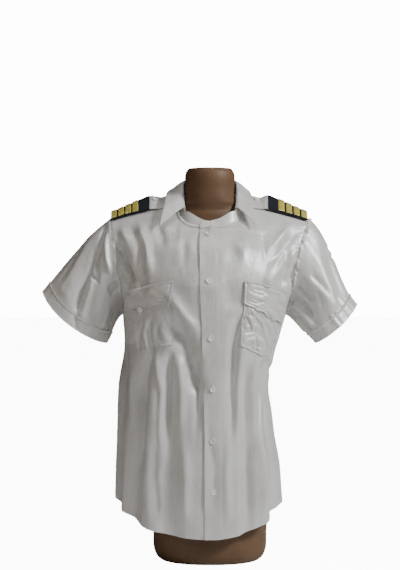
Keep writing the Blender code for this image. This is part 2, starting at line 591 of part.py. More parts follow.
def build_collar(white):
    """The stand that rises from the neckline, and the leaf that folds down over it."""
    base, facing, place = neckline()
    turn = np.linspace(-1, 1, len(base))
    side = np.where(turn < 0.01, RIGHT, LEFT)
    off_centre = np.where(place == PIT, base[:, 0], 0.0)
    top = stack(
        table_at(STAND_TOP, "x", place) * side + off_centre * 0.96,
        table_at(STAND_TOP, "y", place) + off_centre**2 * 8,
        table_at(STAND_TOP, "z", place) + np.abs(off_centre) * 0.30,
    )
    along = np.gradient(base, axis=0)
    inward = unit(np.cross(facing, along))
    inward *= np.sign(dot(inward, stack(0, 0.0, 0.80) - base))
    out = unit(np.cross(top - base, along))
    out *= np.sign(dot(out, base - stack(0, 0.0, 0.78)))
    # The left end laps over the right one, so the stand spirals out by one layer
    offset = (turn * (COLLAR_CLOTH + SEAM) / 2)[:, None]
    lean = np.abs(dot(out, inward))
    foot = base + inward * (SEAM + 0.0002 + (COLLAR_CLOTH / 2 + np.maximum(offset, 0)) * lean)
    rise = unit(top - foot)
    from_end = np.minimum(np.arange(len(base)), np.arange(len(base))[::-1])
    height = np.interp(from_end, (0, 1, 2, 3), (0.30, 0.78, 0.96, 1.0))[:, None]
    share = np.linspace(0, 1, 4)[:, None, None]
    stand = foot + (top - foot) * height * share + out * offset
    wall("collar_stand", [(stand, np.broadcast_to(out, stand.shape))], white, COLLAR_CLOTH)

    folded = np.flatnonzero(place >= LEAF_EDGE[0].place - 1e-6)
    place, rise, out = place[folded], rise[folded], out[folded]
    start = stand[-1][folded] + rise * (2 * SEAM + COLLAR_CLOTH / 2)
    edge_x = np.where(
        side[folded] == RIGHT, -table_at(LEAF_EDGE, "right", place), table_at(LEAF_EDGE, "left", place)
    )
    edge = stack(edge_x, table_at(LEAF_EDGE, "y", place), table_at(LEAF_EDGE, "z", place))
    away = unit((edge - start) * (1, 1, 0.2))
    share = np.array((0.0, 0.045, 0.11, 0.20, 0.36, 0.56, 0.78, 1.0))[:, None]
    leave = start + rise * 0.0140 + away * 0.0020
    arrive = edge - (edge - start) * 0.55 + away * 0.012
    leaf = bezier(start, leave, arrive, edge, share + 0 * place)
    leaf_out = grid_normals(leaf)
    leaf_out *= np.sign(dot(leaf_out[-1], out).mean())
    wall("collar_leaf", [(leaf, leaf_out)], white, COLLAR_CLOTH)


def find_on_shoulder(side, x, y):
    """The body's points and normals at these distances from the centre line and from y = 0."""
    at, share, step = np.full(x.shape, 12.0), (x - 0.07) / 0.15, 1e-3
    goal = stack(x * side, y, 0)[..., :2]
    for _ in range(12):
        here = plain_body(at, share, side)[..., :2]
        by_at = (plain_body(at + step, share, side)[..., :2] - here) / step
        by_share = (plain_body(at, share + step, side)[..., :2] - here) / step
        miss = goal - here
        area = by_at[..., 0] * by_share[..., 1] - by_at[..., 1] * by_share[..., 0]
        at = at + (miss[..., 0] * by_share[..., 1] - miss[..., 1] * by_share[..., 0]) / area
        share = share + (by_at[..., 0] * miss[..., 1] - by_at[..., 1] * miss[..., 0]) / area
        at, share = np.clip(at, 9.5, 14.5), np.clip(share, 0.0, 1.1)
    return body(at, share, side)


def ramp_of(shoulder):
    """Where the strap starts to rise towards its slide, and where it has risen."""
    return shoulder.ramp, shoulder.slide_start - 0.002


def strap_bed(side, x, across, lift):
    """A board `lift` above the shoulder, at x along it and `across` from its middle line.

    Under the slide it is tilted to the front too.
    """
    x, across, lift = np.broadcast_arrays(x, across, lift)
    reach = STRAP_WIDTH / 2
    middle, out = find_on_shoulder(side, x, STRAP_MIDDLE_Y + 0 * x)
    front, _ = find_on_shoulder(side, x, STRAP_MIDDLE_Y - reach + 0 * x)
    rear, _ = find_on_shoulder(side, x, STRAP_MIDDLE_Y + reach + 0 * x)
    share = (across / reach)[..., None]
    bend = (front + rear) / 2 - middle
    bed = middle + (rear - front) / 2 * share + bend * share**2
    ramp = ramp_of(SHOULDERS["right" if side == RIGHT else "left"])
    tilt = STRAP_TILT * np.interp(x, ramp, (0, 1)) * (across / reach + 0.6) / 2
    return bed + out * (lift + np.maximum(tilt, 0))[..., None], out


def build_shoulders(finishes):
    """Each shoulder's strap, the felt slide around it, its four bars and its button."""
    for name, place in SHOULDERS.items():
        lifts = (ramp_of(place), (STRAP_LOW, STRAP_HIGH))
        along = np.append(np.linspace(place.strap_end, 0.2140, 13), ramp_of(place))
        along = np.unique(np.round(along, 4))[:, None]
        rounding = 1 - np.clip((along - place.strap_end) / 0.016, 0, 1)
        half = STRAP_WIDTH / 2 * np.sqrt(1 - rounding**2 * 0.75)
        across = half * np.linspace(-1, 1, 6)
        strap = strap_bed(place.side, along, across, np.interp(along, *lifts))
        wall("shoulder_strap_" + name, [strap], finishes["white"])

        along = np.linspace(place.slide_start, place.slide_end, 9)[:, None]
        half = STRAP_WIDTH / 2 + SEAM + SLIDE_FELT / 2
        gap = CLOTH / 2 + 2 * SEAM + SLIDE_FELT / 2
        over = half * np.linspace(-1, 1, 6)
        across = np.concatenate((over, over[::-1]))
        height = STRAP_HIGH + np.repeat((gap, -gap), 6)
        tube, _ = strap_bed(place.side, along, across, height)
        slide = (tube, tube_normals(tube))
        wall("rank_slide_" + name, [slide], finishes["navy"], SLIDE_FELT, closed=True)

        level = STRAP_HIGH + gap + SLIDE_FELT / 2 + 2 * SEAM + CLOTH / 2
        for number, middle in enumerate(place.bars, 1):
            along = middle + np.linspace(-BAR_HALF, BAR_HALF, 3)[:, None]
            bar = strap_bed(place.side, along, over, level)
            wall(f"rank_bar_{name}_{number}", [bar], finishes["gold"])

        around = place.button + np.array((-BUTTON_RADIUS, 0.0, BUTTON_RADIUS))
        bed, out = strap_bed(place.side, around, 0.0, np.interp(around, *lifts))
        slope = unit(bed[2] - bed[0])
        facing = unit(out[1] - slope * dot(out[1], slope))
        add_button("button_strap_" + name, bed[1] + facing * 0.0001, facing, finishes["plastic"])


def turn_to(facing):
    """The quaternion that turns +Z to this direction."""
    x, y, z = (float(value) for value in facing)
    return tuple(unit(np.array((1 + z, -y, x, 0.0))))


def add_button(name, point, facing, finish):
    """A button lying on the cloth whose middle surface passes through the point."""
    middle = point + facing * (CLOTH / 2 + SEAM + 0.0002 + BUTTON_THICK / 2)
    bpy.ops.mesh.primitive_cylinder_add(vertices=20, radius=BUTTON_RADIUS, depth=BUTTON_THICK)
    made = bpy.context.object
    made.name = made.data.name = name
    for holder in list(made.users_collection):
        holder.objects.unlink(made)
    PARTS.objects.link(made)
    made.data.materials.append(finish)
    made.location = tuple(middle)
    made.rotation_mode = "QUATERNION"
    made.rotation_quaternion = turn_to(facing)
    edge = made.modifiers.new("rounded_edge", "BEVEL")
    edge.width = 0.0007
    edge.segments = 1


def build_buttons(flaps, plastic):
    """The front's buttons, and the one that holds the right flap."""
    places = np.linspace(0, PIT, 200)
    centre_z = row_values("centre_z", places, INNER_CORNERS)
    for number, at in enumerate(np.interp(BUTTON_HEIGHTS, centre_z, places), 1):
        points, out = centre_strip(np.array([at]), (0.0,))
        point = points[0, 0] + out[0, 0] * LAYER
        add_button(f"button_front_{number}", point, out[0, 0], plastic)
    grid, out = flaps["right"]
    middle = grid.shape[1] // 2
    point = grid[0, middle] * 0.45 + grid[1, middle] * 0.55
    facing = out[0, middle]
    add_button("button_pocket_right", point + facing * 0.0004, facing, plastic)


def build_form(brown):
    """The limbless torso, solid, with a flat underside and a closed neck."""
    steps = np.linspace(0, 2 * math.pi, 32, endpoint=False)
    rings = []
    for section in FORM_SECTIONS:
        across, deep = np.cos(steps), np.sin(steps)
        x = np.sign(across) * np.abs(across) ** (2 / section.square_x) * section.half_width
        y = np.sign(deep) * np.abs(deep) ** (2 / section.square_y) * section.half_depth
        rings.append(stack(x, y + section.middle_y, section.z))
    rings = np.array(rings)
    around, last = len(steps), rings.shape[0] * rings.shape[1]
    faces = grid_faces(*rings.shape[:2], True).tolist()
    faces += [list(range(around))[::-1], list(range(last - around, last))]
    add_object("display_form", rings.reshape(-1, 3), faces, brown)


PARTS = bpy.data.collections.new("pilot_shirt")


def main():
    for leftover in list(bpy.data.objects):
        bpy.data.objects.remove(leftover)
    bpy.context.scene.collection.children.link(PARTS)
    finishes = {
        "white": material("white_cloth", WHITE_CLOTH, 0.6),
        "navy": material("navy_felt", NAVY_FELT, 0.9),
        "gold": material("gold_braid", GOLD_BRAID, 0.4, 0.6),
        "plastic": material("button_plastic", BUTTON_PLASTIC, 0.3),
        "brown": material("form_brown", FORM_BROWN, 0.4),
    }
    fronts = build_body(finishes["white"])
    flaps = build_pockets(fronts, finishes["white"])
    build_sleeves(finishes["white"])
    build_collar(finishes["white"])
    build_shoulders(finishes)
    build_buttons(flaps, finishes["plastic"])
    build_form(finishes["brown"])


main()
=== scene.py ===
"""A short-sleeved pilot shirt on a limbless display form, finished for the camera.

Metres, +Z up. The shirt's front faces -Y, so the wearer's right side is at -X.
Each panel is a thin shell of cloth on the body's own rows, with its creases placed one by one.
"""

import math
from collections import namedtuple

import bmesh
import bpy
import numpy as np
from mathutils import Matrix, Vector


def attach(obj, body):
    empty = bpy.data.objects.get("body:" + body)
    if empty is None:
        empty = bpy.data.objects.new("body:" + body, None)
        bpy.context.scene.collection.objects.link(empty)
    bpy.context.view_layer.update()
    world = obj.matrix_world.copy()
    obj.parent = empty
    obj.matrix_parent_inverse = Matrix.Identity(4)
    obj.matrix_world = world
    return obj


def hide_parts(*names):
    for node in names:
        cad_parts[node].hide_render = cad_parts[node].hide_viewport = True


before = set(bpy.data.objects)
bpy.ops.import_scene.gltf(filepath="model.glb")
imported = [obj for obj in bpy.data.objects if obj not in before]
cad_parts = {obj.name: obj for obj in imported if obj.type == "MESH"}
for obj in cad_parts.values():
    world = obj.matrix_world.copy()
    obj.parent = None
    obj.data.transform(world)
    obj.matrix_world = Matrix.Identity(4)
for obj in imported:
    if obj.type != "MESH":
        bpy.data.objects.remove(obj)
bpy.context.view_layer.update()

# Driving sizes
CLOTH = 0.0012          # wall of one layer of shirt cloth
COLLAR_CLOTH = 0.0018   # the collar's fused layers
SLIDE_FELT = 0.0014
SEAM = 0.0003           # gap between neighbouring pieces
LAYER = CLOTH + SEAM    # from one layer's middle to the next one's
LAP = 0.0175            # how far each front passes the centre line
POCKET_INNER = 0.24     # share of a front's row where the pocket starts
POCKET_OUTER = 0.76
SLEEVE_HEM = 0.029      # height of the turned-up sleeve hem
STRAP_WIDTH = 0.050
BUTTON_RADIUS = 0.0056
BUTTON_THICK = 0.0024

RIGHT, LEFT = -1, 1     # the wearer's sides, and their sign in X

# The body's rows. centre: where the row starts, on the centre line or the neckline.
# right, left: half-widths at the side seam or armhole. side_y, side_z: where the row ends.
# flat: how far the row runs straight out from the centre, as a share of its width.
# turn_x, turn_y, turn_z: the handle that the row arrives on at its side end.
Row = namedtuple(
    "Row", "name centre_x centre_y centre_z right left side_y side_z flat turn_x turn_y turn_z"
)
ROWS = (
    Row("front_hem", 0.0, -0.136, 0.066, 0.214, 0.158, 0.030, 0.132, 0.66, 0.0, -0.105, -0.012),
    Row("front_hip", 0.0, -0.134, 0.200, 0.212, 0.152, 0.030, 0.205, 0.66, 0.0, -0.105, 0.0),
    Row("front_low_waist", 0.0, -0.130, 0.300, 0.209, 0.140, 0.030, 0.300, 0.66, 0.0, -0.100, 0.0),
    Row("front_waist", 0.0, -0.127, 0.395, 0.205, 0.130, 0.028, 0.390, 0.66, 0.0, -0.100, 0.0),
    Row("front_low_chest", 0.0, -0.132, 0.480, 0.1925, 0.151, 0.026, 0.472, 0.66, 0.0, -0.105, 0.0),
    Row("front_armpit", 0.0, -0.136, 0.572, 0.196, 0.171, 0.024, 0.543, 0.66, 0.0, -0.100, 0.0),
    Row("chest", 0.0, -0.133, 0.632, 0.1955, 0.1805, -0.034, 0.598, 0.64, 0.012, -0.055, 0.004),
    Row("upper_chest", 0.0, -0.112, 0.690, 0.203, 0.187, -0.056, 0.650, 0.58, 0.040, -0.030, 0.010),
    Row("pit_of_neck", 0.0, -0.072, 0.734, 0.2125, 0.1972, -0.052, 0.698, 0.42, 0.055, -0.018, 0.012),
    Row("neckline_front", 0.044, -0.064, 0.739, 0.2165, 0.2060, -0.040, 0.722, 0.25, 0.050, -0.010, 0.014),
    Row("neckline_side", 0.066, -0.043, 0.757, 0.219, 0.2145, -0.026, 0.742, 0.22, 0.045, -0.004, 0.015),
    Row("front_yoke_seam", 0.072, -0.018, 0.783, 0.2205, 0.2185, -0.010, 0.754, 0.21, 0.045, 0.0, 0.015),
    Row("shoulder_ridge", 0.072, 0.010, 0.805, 0.222, 0.2205, 0.010, 0.758, 0.21, 0.045, 0.0, 0.015),
    Row("neckline_back", 0.056, 0.042, 0.815, 0.220, 0.219, 0.034, 0.753, 0.24, 0.045, 0.002, 0.015),
    Row("nape", 0.0, 0.060, 0.8145, 0.214, 0.213, 0.056, 0.734, 0.36, 0.048, 0.008, 0.014),
    Row("back_yoke_seam", 0.0, 0.098, 0.758, 0.205, 0.204, 0.074, 0.695, 0.50, 0.048, 0.014, 0.010),
    Row("shoulder_blade", 0.0, 0.120, 0.680, 0.199, 0.193, 0.078, 0.640, 0.58, 0.036, 0.026, 0.004),
    Row("back_armhole", 0.0, 0.122, 0.615, 0.1955, 0.184, 0.062, 0.585, 0.62, 0.012, 0.045, 0.002),
    Row("back_armpit", 0.0, 0.118, 0.560, 0.196, 0.171, 0.024, 0.543, 0.64, 0.0, 0.062, 0.0),
    Row("back_low_chest", 0.0, 0.110, 0.480, 0.1925, 0.151, 0.026, 0.472, 0.64, 0.0, 0.060, 0.0),
    Row("back_waist", 0.0, 0.102, 0.395, 0.205, 0.130, 0.028, 0.390, 0.64, 0.0, 0.056, 0.0),
    Row("back_low_waist", 0.0, 0.112, 0.300, 0.209, 0.140, 0.030, 0.300, 0.64, 0.0, 0.060, 0.0),
    Row("back_hip", 0.0, 0.124, 0.200, 0.212, 0.152, 0.030, 0.205, 0.64, 0.0, 0.066, 0.0),
    Row("back_hem", 0.0, 0.126, 0.058, 0.214, 0.158, 0.030, 0.132, 0.64, 0.0, 0.066, -0.012),
)
HEM, ARMPIT, PIT, FRONT_SEAM, RIDGE, NAPE, BACK_SEAM, BACK_ARMPIT, BACK_HEM = (
    0, 5, 8, 11, 12, 14, 15, 18, 23
)
INNER_CORNERS = (PIT, NAPE)
OUTER_CORNERS = (ARMPIT, BACK_ARMPIT)

# Places between rows where the front pieces start and end
POCKET_BOTTOM = 4.05
POCKET_TOP = 5.72
FLAP_TOP = 5.86
# How far the pocket's and the flap's lower edges dip below those places, in rows, at the inner
# corner, the point, the outer corner and the side seam
Dips = namedtuple("Dips", "pocket flap")
DIPS = {
    -1: Dips((0.00, 0.10, -0.02, 0.0), (-0.19, 0.06, -0.13, 0.0)),
    1: Dips((0.02, 0.27, 0.20, 0.0), (-0.05, 0.20, 0.34, 0.0)),
}

# Folds that hang in the cloth. Each runs from (share_1, z_1) to (share_2, z_2), where share is
# the place along the row from centre to side. Depth is out of the cloth where it is above 0.
Fold = namedtuple("Fold", "face side share_1 z_1 share_2 z_2 half_width depth")
FOLDS = (
    Fold("front", RIGHT, 0.95, 0.725, 0.80, 0.600, 0.028, -0.010),
    Fold("front", RIGHT, 0.84, 0.740, 0.62, 0.610, 0.024, 0.005),
    Fold("front", RIGHT, 0.66, 0.720, 0.50, 0.600, 0.022, -0.004),
    Fold("front", RIGHT, 0.28, 0.560, 0.06, 0.400, 0.030, -0.008),
    Fold("front", RIGHT, 0.46, 0.500, 0.58, 0.040, 0.034, -0.013),
    Fold("front", RIGHT, 0.36, 0.480, 0.38, 0.030, 0.028, 0.008),
    Fold("front", RIGHT, 0.27, 0.480, 0.22, 0.030, 0.028, -0.008),
    Fold("front", RIGHT, 0.80, 0.500, 0.82, 0.040, 0.034, -0.012),
    Fold("front", LEFT, 0.86, 0.740, 0.50, 0.620, 0.028, 0.006),
    Fold("front", LEFT, 0.90, 0.690, 0.70, 0.600, 0.024, -0.007),
    Fold("front", LEFT, 0.36, 0.520, 0.30, 0.030, 0.028, -0.009),
    Fold("front", LEFT, 0.50, 0.520, 0.50, 0.030, 0.026, 0.008),
    Fold("front", LEFT, 0.72, 0.560, 0.66, 0.030, 0.026, -0.011),
    Fold("front", LEFT, 0.86, 0.520, 0.86, 0.040, 0.026, 0.007),
    Fold("back", RIGHT, 0.86, 0.660, 0.60, 0.440, 0.030, -0.009),
    Fold("back", RIGHT, 0.55, 0.560, 0.50, 0.030, 0.036, -0.014),
    Fold("back", RIGHT, 0.30, 0.600, 0.24, 0.030, 0.032, 0.010),
    Fold("back", RIGHT, 0.80, 0.500, 0.82, 0.040, 0.032, 0.010),
    Fold("back", LEFT, 0.84, 0.660, 0.56, 0.450, 0.028, -0.008),
    Fold("back", LEFT, 0.18, 0.560, 0.16, 0.030, 0.032, -0.012),
    Fold("back", LEFT, 0.44, 0.560, 0.46, 0.030, 0.030, 0.010),
    Fold("back", LEFT, 0.72, 0.520, 0.74, 0.040, 0.028, -0.011),
)

# Each sleeve's cuff: its middle, the way from there to its upper corner, half its depth front
# to back, and how far its front and back edges dip below the line between the corners.
Cuff = namedtuple("Cuff", "side centre to_top half_depth front_dip back_dip")
CUFFS = {
    "right": Cuff(RIGHT, (-0.3014, -0.012, 0.538), (-0.0704, 0.0, 0.0564), 0.030, 0.020, 0.010),
    "left": Cuff(LEFT, (0.2816, -0.010, 0.524), (0.0462, 0.010, 0.0418), 0.056, 0.006, 0.004),
}
# Folds of the sleeves, from (turn_1, run_1) to (turn_2, run_2). turn goes round the sleeve from
# the armpit, over the front at 0.25 and the top at 0.5. run goes from the armhole to the cuff.
SleeveFold = namedtuple("SleeveFold", "side turn_1 run_1 turn_2 run_2 half_width depth")
SLEEVE_FOLDS = (
    SleeveFold(RIGHT, 0.46, 0.05, 0.27, 1.20, 0.100, 0.007),
    SleeveFold(RIGHT, 0.37, 0.15, 0.13, 1.20, 0.100, -0.008),
    SleeveFold(RIGHT, 0.57, 0.15, 0.76, 1.20, 0.100, -0.008),
    SleeveFold(LEFT, 0.44, 0.10, 0.35, 1.20, 0.085, -0.007),
    SleeveFold(LEFT, 0.36, 0.15, 0.23, 1.20, 0.080, 0.005),
    SleeveFold(LEFT, 0.62, 0.15, 0.74, 1.20, 0.090, -0.007),
)

# The stand's upper edge, where the leaf folds over, by where it stands on the neckline
StandTop = namedtuple("StandTop", "place x y z")
STAND_TOP = (
    StandTop(8.0, 0.0000, -0.0615, 0.7490),
    StandTop(8.5, 0.0210, -0.0600, 0.7560),
    StandTop(9.0, 0.0430, -0.0540, 0.7690),
    StandTop(9.8, 0.0555, -0.0430, 0.7760),
    StandTop(10.5, 0.0590, -0.0240, 0.7990),
    StandTop(11.3, 0.0600, -0.0050, 0.8200),
    StandTop(12.0, 0.0590, 0.0140, 0.8360),
    StandTop(13.0, 0.0450, 0.0440, 0.8470),
    StandTop(14.0, 0.0000, 0.0590, 0.8500),
)
# The leaf's outer edge, from its points round to the back
LeafEdge = namedtuple("LeafEdge", "place right left y z")
LEAF_EDGE = (
    LeafEdge(9.8, 0.1096, 0.1030, -0.0780, 0.7370),
    LeafEdge(10.2, 0.1040, 0.0985, -0.0580, 0.7640),
    LeafEdge(10.8, 0.0985, 0.0930, -0.0300, 0.7920),
    LeafEdge(11.5, 0.0950, 0.0900, 0.0000, 0.8120),
    LeafEdge(12.2, 0.0860, 0.0830, 0.0330, 0.8210),
    LeafEdge(13.0, 0.0600, 0.0590, 0.0700, 0.8080),
    LeafEdge(14.0, 0.0000, 0.0000, 0.0880, 0.7900),
)

# The shoulder pieces, by their distance from the centre line. The strap rises from `ramp` to
# meet its slide.
Shoulder = namedtuple("Shoulder", "side strap_end button ramp slide_start slide_end bars")
SHOULDERS = {
    "right": Shoulder(RIGHT, 0.0880, 0.1208, 0.1080, 0.1320, 0.2165, (0.1630, 0.1790, 0.1950, 0.2110)),
    "left": Shoulder(LEFT, 0.0840, 0.1050, 0.1116, 0.1276, 0.2145, (0.1560, 0.1730, 0.1900, 0.2070)),
}
STRAP_MIDDLE_Y = 0.004
STRAP_LOW = LAYER + 0.001   # the strap's middle above the yoke's, at its free end
STRAP_HIGH = 0.0065         # and under the slide
STRAP_TILT = 0.0060         # how far the slide lifts the strap's rear edge more than its front
BAR_HALF = 0.0066

# How far the button band sways off the centre line, by height
SWAY_HEIGHTS = (0.00, 0.38, 0.50, 0.62, 0.74)
SWAY = (0.006, 0.0045, 0.000, -0.0045, -0.0045)

BUTTON_HEIGHTS = (0.7215, 0.6205, 0.4975, 0.3875, 0.2775, 0.1675)

# The form's sections: height, half-width, half-depth, middle in Y, and the exponents of a
# superellipse in X and in Y. A low one in Y draws the section out to its shoulders.
Section = namedtuple("Section", "z half_width half_depth middle_y square_x square_y")
FORM_SECTIONS = (
    Section(0.000, 0.112, 0.084, -0.006, 2.3, 2.3),
    Section(0.006, 0.119, 0.091, -0.006, 2.3, 2.3),
    Section(0.060, 0.127, 0.098, -0.006, 2.3, 2.3),
    Section(0.140, 0.131, 0.101, -0.006, 2.3, 2.3),
    Section(0.220, 0.127, 0.097, -0.007, 2.3, 2.3),
    Section(0.300, 0.116, 0.088, -0.009, 2.3, 2.3),
    Section(0.390, 0.107, 0.081, -0.012, 2.3, 2.3),
    Section(0.470, 0.118, 0.089, -0.014, 2.3, 2.3),
    Section(0.540, 0.136, 0.099, -0.014, 2.3, 2.3),
    Section(0.610, 0.152, 0.099, -0.010, 2.3, 2.3),
    Section(0.660, 0.165, 0.092, -0.001, 2.3, 2.3),
    Section(0.700, 0.173, 0.082, 0.007, 2.2, 2.2),
    Section(0.725, 0.175, 0.074, 0.012, 2.1, 2.0),
    Section(0.742, 0.174, 0.069, 0.016, 2.0, 1.8),
    Section(0.752, 0.166, 0.067, 0.016, 1.9, 1.5),
    Section(0.760, 0.150, 0.065, 0.015, 1.8, 1.25),
    Section(0.768, 0.1245, 0.0625, 0.013, 1.7, 1.15),
    Section(0.776, 0.0990, 0.0590, 0.012, 1.8, 1.2),
    Section(0.784, 0.0795, 0.0570, 0.008, 1.9, 1.35),
    Section(0.793, 0.066, 0.054, 0.002, 2.0, 1.7),
    Section(0.803, 0.0570, 0.0525, -0.001, 2.0, 2.0),
    Section(0.820, 0.0545, 0.0520, -0.002, 2.0, 2.0),
    Section(0.862, 0.0535, 0.0520, -0.002, 2.0, 2.0),
    Section(0.869, 0.0480, 0.0465, -0.002, 2.0, 2.0),
)

SHELL = 0.0011          # shown thickness of one layer of shirt cloth
COLLAR_SHELL = 0.0017   # of the collar's layers
FELT_SHELL = 0.0012
SHOWN_TILT = STRAP_TILT + 0.005     # the slide's tilt with the cloth's own spring
STITCH_LENGTH, STITCH_GAP, STITCH_RADIUS = 0.0027, 0.0009, 0.00021
HOLE_OFFSET, HOLE_RADIUS = 0.0011, 0.00062
FORM_RINGS, FORM_AROUND, FORM_PULL = 260, 128, 0.6

